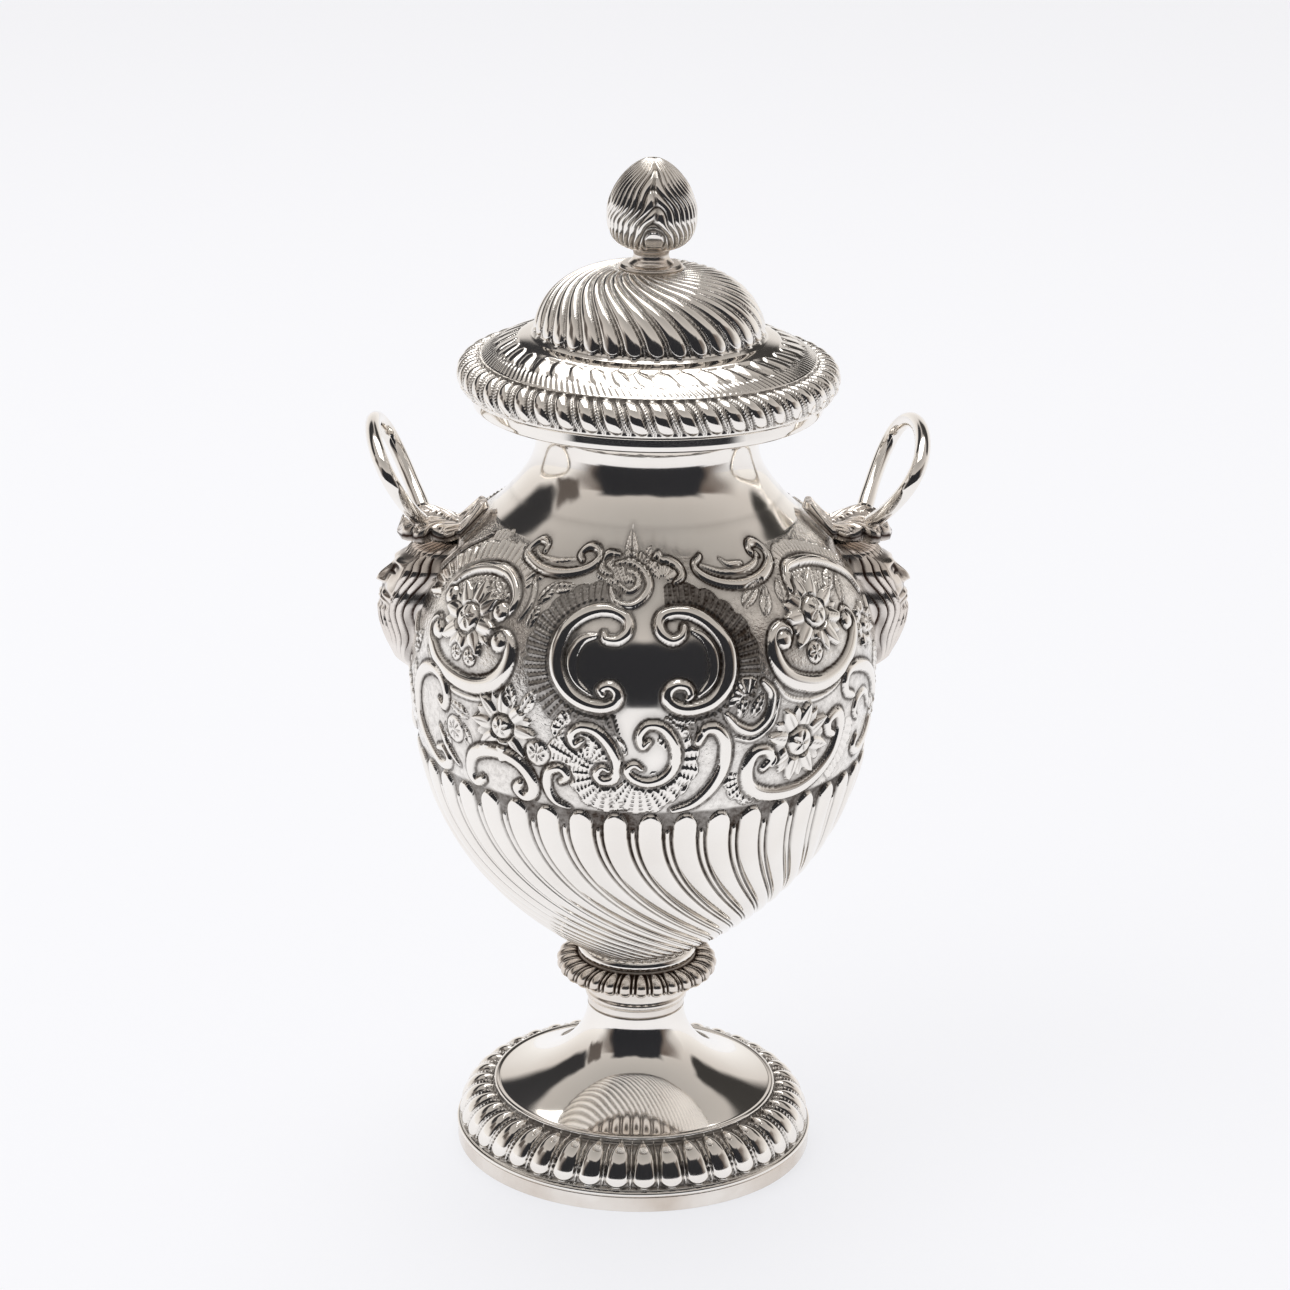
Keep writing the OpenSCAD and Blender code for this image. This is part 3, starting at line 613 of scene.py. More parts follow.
# %% The two ends of the sheet meet at the side
shell(-68.6, 60, 15, 165, 2.5, 10.5, 13, 0.55, 0)
button(-68.6, 60, 2.4, 0.9)
scroll([(-46, 71.3), (-44.2, 70.6), (-43.5, 73.5), (-45.5, 76.3), (-49.5, 76.8), (-54, 74.8), (-56.8, 71),
        (-57, 66), (-55, 62.5), (-51, 59.5), (-47.5, 57.8), (-45, 58.3), (-44, 60), (-45.5, 61.5),
        (-48, 61)], 1.3, 0.85, 0.5, 0.45)
scroll([(-46.5, 66), (-44, 62.5), (-40.5, 59.6)], 0.8, 0.6, 0.4, 0.35)
scroll([(49.5, 73), (46.7, 74.4), (46.2, 77), (48, 78.6), (52, 78.3), (57, 76.3), (61, 73), (63, 69),
        (62, 64.5), (58.5, 61), (54.5, 60), (52, 61.5), (53, 63.5)], 1.3, 0.85, 0.5, 0.45)
scroll([(52.5, 67.5), (50.7, 69), (51.5, 71.3), (54.5, 72.2), (57, 71), (58.5, 68)], 0.8, 0.6, 0.4, 0.35)
scroll([(-57, 79), (-60.5, 83), (-61.5, 89), (-60, 96), (-56.5, 102), (-51.5, 106)], 1.0, 0.7, 0.4, 0.4)
scroll([(57, 81), (61, 84), (63.5, 89)], 0.9, 0.6, 0.4, 0.4)
feathers([(-55, 100), (-50, 104.5), (-44, 106)], 1, 0.2, 3.0, 1.3, 0.45)
flower(57.5, 85, 4.6, 7, 1.9, 0.0, 0.8)
leaf(-59, 77, 60, 6.5, 1.4, 0.6)
leaf(-79, 64, 130, 8, 1.6, 0.6)
leaf(-79, 72, 100, 8, 1.6, 0.6)
leaf(-60, 68, 80, 8, 1.6, 0.6)
print("chasing reaches", round(float(raised.max()), 2), "mm up and", round(float(sunk.max()), 2), "mm down")

# %% [markdown]
# ## The lobes under the chasing
# Forty-one round lobes wind round the lower half. They stand almost upright at their rounded
# tips and lean more and more towards the foot. A thin wire-like ridge runs between each pair.
# The relief shrinks with the radius, since the same number of lobes has less room lower down.

# %% Height of the lobes, and the level of the metal they stand on
PITCH = ROUND / LOBES
rows_plain = np.linspace(S_TOP, bowl_tape[-1], 26)
rows_all = np.concatenate([rows_lobed[:-1], rows_chased, rows_plain[1:]])
LEAN, S_LEAN = 0.0266, 52


def drift(s):
    """Extra turn of the grid below the chasing, so that its columns follow the leaning lobes."""
    extra = LEAN * ((S_LEAN - s) ** 2 - (S_LEAN - S_FINE) ** 2)
    return np.where(s < S_FINE, extra, 0) / BELLY_R


S_ALL = rows_all[:, None] + 0 * turn_all[None, :]
turn_grid = turn_all[None, :] + drift(rows_all)[:, None]
U_ALL = turn_grid * BELLY_R + SHIFT
bowl_rz = bowl_at(rows_all)
room = (bowl_rz[:, :1] / BELLY_R) ** 0.7
lean = LEAN * np.clip(S_LEAN - S_ALL, 0, None) ** 2
across = ((U_ALL - 2.2 - lean) / PITCH + 0.5) % 1 - 0.5
tip = np.sqrt(np.clip(1 - (np.clip(S_ALL - 53.0, 0, None) / 3.3) ** 2, 1e-6, 1))
ridge_tip = np.sqrt(np.clip(1 - (np.clip(S_ALL - 51.0, 0, None) / 1.6) ** 2, 1e-6, 1))
lobe = dome(across / (0.355 * tip)) ** 0.75 * tip ** 0.5
ridge = 0.6 * dome((0.5 - np.abs(across)) / (0.075 * ridge_tip)) * ridge_tip ** 0.5
in_lobes = step(57.0, 56.4, S_ALL)
lobed = 1.05 * room * np.maximum(lobe, ridge) * in_lobes
level = -1.05 * room * step(57.5, 55.5, S_ALL)
level = level - 0.85 * step(55.5, 57.5, S_ALL) * step(119, 107, S_ALL)
print("lobes:", LOBES, "pitch at the belly", round(PITCH, 2), "mm")

# %% [markdown]
# ## One skin from seat to mouth
# The half sheet is used twice, turned half way round. Everything adds up to one height for each
# point, and that height pushes the bowl's outline outwards. The recesses are kept as a value on
# each point, because they hold the dark tarnish that makes old chasing readable.

# %% The skin and its recess and matting values
def all_round(sheet):
    """The half sheet laid twice round the bowl, for rows of the chased zone only."""
    return np.concatenate([sheet[:, HALF // 2:], sheet, sheet[:, :HALF // 2]], 1)


first = len(rows_lobed) - 1
zone = slice(first, first + len(rows_chased))
work = np.zeros(S_ALL.shape)
work[zone] = all_round(raised - sunk) * step(55.8, 56.8, S_ALL[zone])
skin = level + np.maximum(lobed, work * (1 - in_lobes * (lobed > 0)))
hollow_all = 0.85 * recess(skin, 9, 0.34)
above_lobes = step(55.8, 56.8, S_ALL[zone])
drawn = all_round(np.maximum(dark, step(0.05, 0.30, sunk))) * above_lobes
hollow_all[zone] = np.maximum(hollow_all[zone], drawn)
gap = np.maximum(lobe, ridge / 0.6)
hollow_all = np.maximum(hollow_all, in_lobes * step(0.55, 0.1, gap))
hollow_all = np.clip(hollow_all, 0, 1) * step(0, 4, S_ALL)
ground_all = np.zeros(S_ALL.shape)
ground_all[zone] = all_round(matted) * step(56.5, 57.5, S_ALL[zone]) * step(111, 108, S_ALL[zone])
skin_p = carry_round(bowl_rz, turn_grid, skin)
skin_n = grid_normals(skin_p, False, True)
print("skin:", skin.shape, "height in mm", round(float(skin.min()), 2), round(float(skin.max()), 2))

# %% [markdown]
# ## Panels with a wall
# The skin is too fine for one piece, so it is cut into panels along lines that do not show. Each
# panel is a closed piece of sheet: the chased outside, a smooth inside, and an edge all round.

# %% Cut the skin into closed panels
def panel(name, row0, row1, col0, col1, back_rows):
    """Outside rows row0..row1 and columns col0..col1, backed by a smooth wall, with flat edges."""
    cols = np.arange(col0, col1 + 1) % COLS
    out_p, out_n = skin_p[row0:row1 + 1][:, cols], skin_n[row0:row1 + 1][:, cols]
    s = np.linspace(rows_all[row0], rows_all[row1], back_rows)
    lie = np.interp(s, rows_all, level[:, 0])
    rz, n2 = bowl_at(s), profile_normals(bowl_at(s))
    rz = rz - n2 * (WALL + 0.75 * np.abs(lie))[:, None]
    turn = turn_all[cols] + 2 * PI * (np.arange(col0, col1 + 1) >= COLS)
    turn = turn[None, :] + drift(s)[:, None]
    back_p = carry_round(rz, turn)
    back_n = -grid_normals(back_p)
    rows, wide = out_p.shape[:2]
    shift = rows * wide
    a = np.arange(wide - 1)
    outer = grid_faces(rows, wide)
    inner = grid_faces(back_rows, wide)[:, ::-1] + shift
    low = np.stack([a, shift + a, shift + a + 1, a + 1], 1)
    top, back_top = (rows - 1) * wide, shift + (back_rows - 1) * wide
    high = np.stack([top + a, top + a + 1, back_top + a + 1, back_top + a], 1)
    i = np.arange(rows - 1)
    mate = np.rint(np.arange(rows) * (back_rows - 1) / (rows - 1)).astype(int)
    left = np.stack([i, i + 1, mate[1:], mate[:-1]], 1) * wide + np.array([0, 0, shift, shift])
    right = (left + wide - 1)[:, ::-1]
    four = mate[1:] != mate[:-1]
    faces = [outer, inner, low, high, left[four], right[four],
             left[~four][:, [0, 1, 2]], right[~four][:, [0, 2, 3]]]
    points = np.concatenate([out_p.reshape(-1, 3), back_p.reshape(-1, 3)])
    normals = np.concatenate([out_n.reshape(-1, 3), back_n.reshape(-1, 3)])
    rest = np.zeros(back_p.shape[0] * wide)
    hollow = np.concatenate([hollow_all[row0:row1 + 1][:, cols].ravel(), rest])
    ground = np.concatenate([ground_all[row0:row1 + 1][:, cols].ravel(), rest])
    return put_mesh(name, points, faces, normals, hollow, ground)


last = len(rows_all) - 1
body_pieces = []
for k in range(2):
    body_pieces.append(panel(f"bowl_lobes_{k + 1}", 0, first, k * HALF, (k + 1) * HALF, 12))
for k in range(4):
    body_pieces.append(panel(f"bowl_chasing_{k + 1}", first, zone.stop - 1, k * HALF // 2,
                             (k + 1) * HALF // 2, 8))
for k in range(2):
    body_pieces.append(panel(f"bowl_shoulder_{k + 1}", zone.stop - 1, last, k * HALF, (k + 1) * HALF, 12))
floor_line = np.array([[0, 0], [10.2, 0], [10.9, 0.15], [11.15, 0.5], [10.9, 0.9],
                       [10, 1.0], [0, 0.9]])
floor_line = floor_line + [0, Z_SEAT]
body_pieces.append(turned("bowl_floor", resample(floor_line, 60), 96, closed=False))

# %% [markdown]
# ## Plain turned pieces
# The plinth, wire, collar, dish, mouth band and the finial's flange and neck are plain turned
# rings. Their profiles are walked in short steps, which leaves each corner a tiny round edge as
# polishing would.

# %% Plain rings
def ring(name, corners, cols=256, fine=0.22):
    """A closed ring from its corner points, walked in steps of about fine mm."""
    line = np.array(corners + corners[:1], float)
    n = int(np.linalg.norm(np.diff(line, axis=0), axis=1).sum() / fine)
    walk = resample(line, n)[:-1]
    return turned(name, blur_line(walk), cols)


def blur_line(line):
    """Each point moved to the mean of itself and its two neighbours, on a closed line."""
    return (np.roll(line, 1, 0) + 2 * line + np.roll(line, -1, 0)) / 4


def joined(*parts):
    """Corner lists one after another, as plain lists."""
    return [list(map(float, c)) for part in parts for c in part]


plinth = ring("plinth_band_face", [[34.1, 0], [R_WIRE, 0], [R_WIRE, Z_WIRE], [34.1, Z_WIRE]])
wire = ring("plinth_wire_face", [[34.1, Z_WIRE], [R_WIRE, Z_WIRE], [35.55, 3.45], [35.6, 3.7],
                                 [35.55, 3.95], [R_WIRE, Z_BORDER], [34.1, Z_BORDER]])
collar = ring("stem_collar_face", [[5, Z_COLLAR], [R_STEM, Z_COLLAR], [R_STEM, 31.0], [10.1, 31.0],
                                   [10.1, 32.13], [9.7, 32.13], [9.7, Z_KNOP], [5, Z_KNOP]], 256, 0.35)
dish = ring("stem_dish_face", [[5, Z_DISH], [R_DISH, Z_DISH], [11.8, 41.1], [SEAT_R, Z_SEAT],
                               [5, Z_SEAT]], 256, 0.35)
mouth = ring("mouth_band_face", [[MOUTH_R, Z_MOUTH], [32.7, Z_MOUTH], [33.25, 152.55], [R_MOUTH, 153.15],
                                 [R_MOUTH, Z_RIM], [MOUTH_R, Z_RIM]], 288)
bezel = ring("cover_bezel_face", [[30.1, 154.3], [31.1, 154.3], [31.1, 161.12], [30.1, 161.12]], 256, 0.4)
flange = ring("finial_flange_face", [[1.6, 179.03], [6.0, 179.03], [6.2, 179.25], [6.0, 179.48],
                                     [5.6, 179.82], [1.6, 179.82]], 160, 0.16)
neck_out = bez([[4.4, Z_NECK_LOW], [3.1, 180.985], [3.2, 181.565], [3.7, Z_BUD]], 30)
neck = ring("finial_neck_face", joined(neck_out, [[1.55, Z_BUD], [1.55, Z_NECK_LOW]]), 128, 0.12)

# %% [markdown]
# ## Gadroons
# A gadroon is a raised lobe in a row of many. One helper draws them all: the angle picks the
# lobe, the way along the profile sets how wide it is there and how far it leans, and its ends are
# rounded. Thin darts fill the gaps. Crests touch the fixed model's surface and grooves lie inside.

# %% A row of lobes with thin darts between
def gadroons(turn, q, count, lean, half, ends, dart, darts=1):
    """Lobe and dart heights from 0 to 1 for each way along the profile q and each turn."""
    x = (count * turn / (2 * PI) + lean + 0.5) % 1 - 0.5
    (a0, a1), (b0, b1) = ends
    low = np.sqrt(np.clip(1 - (np.clip(a1 - q, 0, None) / (a1 - a0)) ** 2, 1e-6, 1))
    high = np.sqrt(np.clip(1 - (np.clip(q - b0, 0, None) / (b1 - b0)) ** 2, 1e-6, 1))
    inside = (q > a0) & (q < b1)
    end = low * high
    lobe_h = dome(x / (half * end)) ** 0.8 * end ** 0.6 * inside
    y = 0.5 - np.abs(x)
    if darts == 2:
        y = np.abs(y - dart * 1.1)
    dart_h = dome(y / (dart * end)) * end ** 0.6 * inside
    return lobe_h, dart_h


def walled(outer, wall, back=10):
    """A closed profile: the outer line, then a coarser line one wall inside, run backwards."""
    inside = resample(outer - profile_normals(outer) * wall, back)[::-1]
    return np.vstack([outer, inside])


def with_back(values, back=10):
    """Outer values with zeros for the inner line."""
    return np.vstack([values, np.zeros((back, values.shape[1]))])


# %% [markdown]
# ## The foot
# The foot's border has forty full lobes, broad at the outer end, narrower and rounded at the
# top, and they lean away from the middle of the front to both sides. Inside it the trumpet of
# the foot rises in one polished sweep, with a fine bead round its edge.

# %% Foot border and trumpet
border_line = resample(bez([[35.1, Z_BORDER], [35.1, 9.41], [31.9, Z_FLARE], [R_FLARE, Z_FLARE]], 200), 52)
q_foot = np.linspace(0, 1, 52)[:, None]


def foot_lobes(turn):
    lean = 0.55 * (q_foot - 0.2) * np.sin(turn)[None, :]
    half = 0.425 * (1 - 0.32 * q_foot ** 1.6)
    return gadroons(turn[None, :], q_foot, 40, lean, half, ((0.03, 0.20), (0.60, 0.99)), 0.045)


def foot_relief(turn):
    lobe_h, dart_h = foot_lobes(turn)
    edge = step(0, 0.05, q_foot) * step(1.0, 0.97, q_foot)
    return with_back(-0.95 * edge * (1 - np.maximum(lobe_h, 0.75 * dart_h)))


def foot_hollow(turn):
    lobe_h, dart_h = foot_lobes(turn)
    return with_back(0.8 * step(0.42, 0.06, np.maximum(lobe_h, dart_h)) * step(0, 0.04, q_foot))


foot_border = turned("foot_border_lobes", walled(border_line, 1.2), 1120, foot_relief, foot_hollow)
flare_line = bez([[R_FLARE, Z_FLARE], [18.33, 14.65], [9.8, 20.6], [R_STEM, Z_COLLAR]], 400)
flare_line = resample(flare_line, 96)
q_flare = np.linspace(0, 1, 96)[:, None]


def flare_relief(turn):
    bead = 0.28 * dome((q_flare - 0.018) / 0.018)
    return with_back((bead - 0.05 * step(0.03, 0.05, q_flare)) * np.ones_like(turn)[None, :])


foot_flare = turned("foot_trumpet_face", walled(flare_line, 1.1), 256, flare_relief)

# %% [markdown]
# ## The knop
# The knop on the stem is a lobed bun. Its lobes run over it from below to above and lean away
# from the front, with one thin ridge between each pair.

# %% Knop
knop_line = np.vstack([bez([[10.8, Z_KNOP], [15.3, 35.455], [15.9, 36.73], [15.9, 38.005]], 60),
                       bez([[15.9, 38.005], [15.9, 39.382], [13.9, Z_DISH], [R_DISH, Z_DISH]], 60)[1:]])
knop_line = resample(knop_line, 44)
q_knop = np.linspace(0, 1, 44)[:, None]


def knop_lobes(turn):
    lean = 0.9 * (q_knop - 0.4) * np.sin(turn)[None, :]
    half = 0.37 - 0.08 * q_knop
    return gadroons(turn[None, :], q_knop, 29, lean, half, ((0.02, 0.25), (0.7, 0.98)), 0.085)


def knop_relief(turn):
    lobe_h, dart_h = knop_lobes(turn)
    return with_back(-0.7 * (1 - np.maximum(lobe_h, 0.7 * dart_h)), 8)


def knop_hollow(turn):
    lobe_h, dart_h = knop_lobes(turn)
    return with_back(step(0.7, 0.15, np.maximum(lobe_h, dart_h)), 8)


knop_core = resample(np.array([[11.5, Z_DISH], [5, Z_DISH], [5, Z_KNOP], [10.6, Z_KNOP]]), 8)
knop = turned("knop_lobes", np.vstack([knop_line, knop_core]), 812, knop_relief, knop_hollow)

# %% [markdown]
# ## The cover
# The cover's border has forty-eight lobes that slant from upper left to lower right, with two
# thin ridges between each pair. Inside it a gentle slope carries a ring of fine chased fingers,
# and then the dome rises with lobes that start round and sweep up to the left.

# %% Border of the cover
rim_line = resample(bez([[34.5, Z_COVER], [37.4, 157.03], [37.2, 161.79], [R_FIELD, Z_FIELD]], 200), 52)
q_rim = np.linspace(0, 1, 52)[:, None]


def rim_lobes(turn):
    lean, half = 0.75 * (q_rim - 0.5), 0.315 - 0.05 * q_rim
    return gadroons(turn[None, :], q_rim, 48, lean, half, ((0.12, 0.24), (0.84, 0.99)), 0.05, 2)


def rim_relief(turn):
    lobe_h, dart_h = rim_lobes(turn)
    sunk_in = step(0.10, 0.18, q_rim) * step(1.0, 0.98, q_rim)
    back = np.zeros((14, len(turn)))
    return np.vstack([-0.62 * sunk_in * (1 - np.maximum(lobe_h, 0.7 * dart_h)), back])


def rim_hollow(turn):
    lobe_h, dart_h = rim_lobes(turn)
    back = np.zeros((14, len(turn)))
    low = 0.85 * step(0.45, 0.05, np.maximum(lobe_h, dart_h)) * step(0.12, 0.18, q_rim)
    return np.vstack([low, back])


rim_back = np.array([[R_FIELD, 161.7], [R_FIELD, 161.125], [31.15, 161.1], [31.15, 156.75],
                     [33.0, 156.7], [33.8, 157.2], [33.9, 155.3]])
cover_rim = turned("cover_border_lobes", np.vstack([rim_line, resample(rim_back, 14)]), 1008,
                   rim_relief, rim_hollow)

# %% Slope and dome of the cover
slope = bez([[R_FIELD, Z_FIELD], [29, 164.445], [24.8, 165.705], [R_DOME, Z_DOME]], 120)
rise = bez([[R_DOME, Z_DOME], [21.645, 172.962], [16.43, 178.525], [6.4, Z_APEX]], 240)
crown = np.array([[4.5, Z_APEX], [1.6, Z_APEX]])
dome_line = resample(np.vstack([slope, rise[1:], crown]), 110)
tape = np.concatenate([[0], np.cumsum(np.linalg.norm(np.diff(dome_line, axis=0), axis=1))])[:, None]
AT_FOOT = float(np.interp(166.7, dome_line[:, 1], tape[:, 0]))
AT_TOP = float(np.interp(179.0, dome_line[:, 1], tape[:, 0]))
q_dome = (tape - AT_FOOT) / (AT_TOP - AT_FOOT)


def dome_lobes(turn):
    lean = 5.6 * np.clip(q_dome, 0, 1) ** 1.9
    half = 0.425 - 0.06 * np.clip(q_dome * 2.5, 0, 1)
    return gadroons(turn, q_dome, 32, lean, half, ((0.0, 0.12), (0.9, 1.02)), 0.05)


def fingers(turn):
    """Fine fingers on the slope: rounded inner tips and thin slanting lines outside them."""
    x = (40 * turn / (2 * PI) + 0.12 * tape + 0.5) % 1 - 0.5
    tip_in = np.sqrt(np.clip(1 - (np.clip(tape - 6.4, 0, None) / 1.4) ** 2, 1e-6, 1))
    finger = dome(x / (0.34 * tip_in)) * (tape < 7.8) * step(2.6, 3.6, tape)
    lines = 0.5 + 0.5 * np.cos(2 * PI * (160 * turn / (2 * PI) + 0.5 * tape))
    return finger, lines * step(4.4, 3.2, tape) * step(0.25, 0.6, tape)


def dome_relief(turn):
    lobe_h, dart_h = dome_lobes(turn[None, :])
    near = step(-0.02, 0.01, q_dome) * step(1.03, 0.97, q_dome)
    depth = 0.78 * (dome_line[:, :1] / 22) ** 0.8
    finger, lines = fingers(turn[None, :])
    engraved = -0.22 * (1 - finger) * step(2.6, 3.4, tape) * step(8.2, 7.6, tape) - 0.12 * lines
    return with_back(-depth * near * (1 - np.maximum(lobe_h, 0.6 * dart_h)) + engraved, 12)


def dome_hollow(turn):
    lobe_h, dart_h = dome_lobes(turn[None, :])
    finger, lines = fingers(turn[None, :])
    near = step(-0.02, 0.01, q_dome) * step(1.03, 0.97, q_dome)
    edge = 0.6 * np.exp(-((finger - 0.25) / 0.2) ** 2) * (tape > 2.8) * (tape < 8)
    low = 0.9 * near * step(0.42, 0.05, np.maximum(lobe_h, dart_h))
    return with_back(np.maximum(low, np.maximum(edge, 0.3 * lines)), 12)


cover_dome = turned("cover_dome_chased", walled(dome_line, 1.0, 12), 800, dome_relief, dome_hollow)
print("lobes on the dome start", round(AT_FOOT, 1), "mm up the cover's outline")

# %% [markdown]
# ## The bud
# The finial is a closed bud wrapped in two leaves, front and back. Veins bend down from the
# midrib like arches and run out in long folds at the sides. Arches are lines of equal height plus
# a share of the rounded-off angle, so one wave along that sum draws them all.

# %% Finial bud
bud_line = np.vstack([bez([[3.6, Z_BUD], [7.4, 183.24], [R_BUD, 185.99], [R_BUD, 189.09]], 80),
                      bez([[R_BUD, 189.09], [R_BUD, 194.25], [3.78, Z_TOP], [0, Z_TOP]], 120)[1:]])
bud_line = resample(bud_line, 120)
bud_line = np.vstack([[0, Z_BUD], [1.8, Z_BUD], bud_line])
v_bud = ((bud_line[:, 1] - Z_BUD) / 17.2)[:, None]


def bud_shapes(turn):
    a = (turn + PI / 2) % PI - PI / 2
    wave = 0.05 * np.sin(15 * v_bud) * step(0.15, 0.4, v_bud)
    w = np.abs(a[None, :] - wave)
    f = v_bud + 1.25 * (np.sqrt(w ** 2 + 0.09) - 0.3)
    vein = np.abs(np.sin(PI * f / 0.185)) ** 0.8
    second = np.abs(np.sin(2 * PI * f / 0.185 + 0.6)) ** 0.5
    rib = np.exp(-(w / 0.055) ** 2)
    seam = np.exp(-((PI / 2 - w) / 0.05) ** 2)
    almond = np.clip(1 - (w / 0.24) ** 2 - ((v_bud - 0.13) / 0.15) ** 2, 0, 1)
    around = np.exp(-((np.hypot(w / 0.24, (v_bud - 0.13) / 0.15) - 1.12) / 0.10) ** 2)
    return vein * (0.94 + 0.06 * second), rib, seam, almond, around


def bud_relief(turn):
    vein, rib, seam, almond, around = bud_shapes(turn)
    live = step(0.03, 0.10, v_bud) * step(1.0, 0.93, v_bud)
    h = -0.52 * (1 - vein) - 0.35 * rib * step(0.28, 0.34, v_bud) - 0.6 * seam
    h = np.where(almond > 0, -0.05 - 0.25 * (1 - np.sqrt(almond)), h) - 0.5 * around
    return h * live


def bud_hollow(turn):
    vein, rib, seam, almond, around = bud_shapes(turn)
    low = np.maximum(step(0.55, 0.2, vein) * (almond <= 0), np.maximum(around, 0.7 * seam))
    return np.maximum(low, 0.6 * rib * (almond <= 0)) * step(0.03, 0.10, v_bud) * step(0.97, 0.85, v_bud)


bud = turned("finial_bud_leaves", bud_line, 360, bud_relief, bud_hollow, closed=False)

# %% [markdown]
# ## The masks
# A bearded head looks out from each side of the bowl. It is worked as a tube round an upright
# axis: the height picks the row, the angle goes from one ear to the other. The plain bulge of a
# head comes first, then the face, which is a calm one of simple proportions with equal thirds
# for forehead, nose and chin, and last the locks of hair and beard.

# %% Locks and soft bumps
def bump(y, z, y0, z0, ry, rz):
    """A soft round rise, 1 at its middle (y0, z0)."""
    return np.exp(-((y - y0) / ry) ** 2 - ((z - z0) / rz) ** 2)


def locks(f, sharp=0.6):
    """Rounded strands with sharp valleys between them, one for each whole step of f."""
    return np.abs(np.sin(PI * f)) ** sharp


def bowl_r(z):
    """Radius of the bowl's outline at a height above the belly or below it."""
    return np.interp(z, bowl_line[:, 1], bowl_line[:, 0])


# %% One mask, looking along +X
def mask_piece(name, side):
    """Rows climb from the beard's tip to the hair. out = bulge * cosine + face + locks."""
    rows, cols = 176, 190
    v = np.linspace(0, 1, rows)[:, None]
    phi = np.linspace(-PI / 2, PI / 2, cols)[None, :]
    z = 99.6 + 27.2 * v + 0 * phi
    half = np.interp(v, [0, 0.03, 0.10, 0.22, 0.40, 0.60, 0.80, 0.92, 0.98, 1.0],
                     [0.3, 1.6, 3.2, 5.0, 7.0, 8.0, 8.1, 7.0, 4.6, 1.0])
    half = half + 0.30 * np.sin(0.95 * z) * step(0.03, 0.12, v) * step(1.0, 0.9, v)
    bulge = np.interp(v, [0, 0.03, 0.10, 0.22, 0.36, 0.48, 0.60, 0.72, 0.84, 0.93, 0.98, 1.0],
                      [0.1, 1.4, 3.0, 4.6, 6.2, 7.1, 7.6, 7.9, 8.0, 6.6, 4.0, 0.6])
    y = half * np.sin(phi)
    round_out = np.cos(phi) ** 0.75
    face = step(6.3, 4.6, np.abs(y)) * step(111.5, 113.5, z)
    nose = 1.75 * np.exp(-(y / 0.85) ** 2) * step(122.3, 118.3, z) * step(116.9, 117.7, z)
    nose += 0.55 * (bump(y, z, 1.15, 117.7, 0.6, 0.6) + bump(y, z, -1.15, 117.7, 0.6, 0.6))
    brow = 0.75 * bump(np.abs(y), z, 2.4, 121.9, 1.9, 0.65)
    socket = -0.95 * bump(np.abs(y), z, 2.35, 120.5, 1.5, 1.0)
    eye = 0.62 * bump(np.abs(y), z, 2.45, 120.4, 0.95, 0.55)
    lid = -0.30 * bump(np.abs(y), z, 2.45, 119.75, 1.1, 0.18)
    cheek = 0.35 * bump(np.abs(y), z, 3.2, 117.8, 1.2, 1.4)
    lips = 0.45 * bump(y, z, 0, 115.5, 1.5, 0.38) + 0.50 * bump(y, z, 0, 114.6, 1.2, 0.40)
    mouth_line = -0.45 * bump(y, z, 0, 115.05, 1.7, 0.14)
    face_h = face * (nose + brow + socket + eye + lid + cheek + lips + mouth_line)
    flow = 4.6 * np.abs(phi) + 0.50 * np.sin(0.5 * z + 1.2)
    strands = locks(flow, 0.65) - 0.55 + 0.16 * (locks(2.0 * flow + 0.4, 0.8) - 0.5)
    beard = 1.25 * strands
    whisker = 0.85 * locks((z - 116.5 + 0.45 * np.abs(y)) / 1.5, 0.7)
    whisker = whisker * bump(np.abs(y), z, 2.9, 115.2, 2.0, 1.2)
    side_hair = 1.45 * strands
    crown_hair = 1.0 * (locks(5.0 * phi + 0.3 * np.sin(z), 0.6) - 0.45)
    at_side = step(5.0, 6.2, np.abs(y))
    at_top = step(123.2, 124.6, z)
    at_beard = step(114.2, 112.2, z)
    hair = at_top * crown_hair + (1 - at_top) * (at_side * side_hair + (1 - at_side) * at_beard * beard)
    hair += whisker * (1 - at_top)
    live = step(0, 0.10, v) * step(1.0, 0.93, v) * step(0, 0.16, np.cos(phi))
    lift = face_h * (1 - at_top) + hair
    out = np.sqrt(np.clip(bowl_r(z) ** 2 - y ** 2, 0, None)) - 1.3 + bulge * round_out + lift * live
    back_phi = np.linspace(0, 1, 14)[None, 1:-1]
    by = half[:, -1:] * np.cos(PI * back_phi)
    bz = z[:, :1] + 0 * by
    bx = np.sqrt(bowl_r(bz) ** 2 - by ** 2) - 1.3 + 0 * by
    p = np.stack([np.hstack([out, bx]), np.hstack([y, by]), np.hstack([z, bz])], -1)
    dark_h = np.hstack([recess(lift * live, 11, 0.24, False), np.zeros(bx.shape)])
    edge = step(0.35, 0.0, np.cos(phi)) * live
    dark_h[:, :cols] = np.maximum(dark_h[:, :cols], 0.7 * edge)
    between = 0.9 * step(0.02, -0.35, strands) * live * (1 - face) * (1 - at_top)
    dark_h[:, :cols] = np.maximum(dark_h[:, :cols], between)
    if side < 0:
        p[..., 0] *= -1
        p = p[:, ::-1]
        dark_h = dark_h[:, ::-1]
    n = grid_normals(p, False, True)
    ends = np.stack([p[0].mean(0), p[-1].mean(0)])
    return capped(name, p, n, ends, [[0, 0, -1.0], [0, 0, 1.0]], np.append(dark_h.ravel(), [0.5, 0.5]))


masks = [mask_piece("mask_right_head", 1), mask_piece("mask_left_head", -1)]

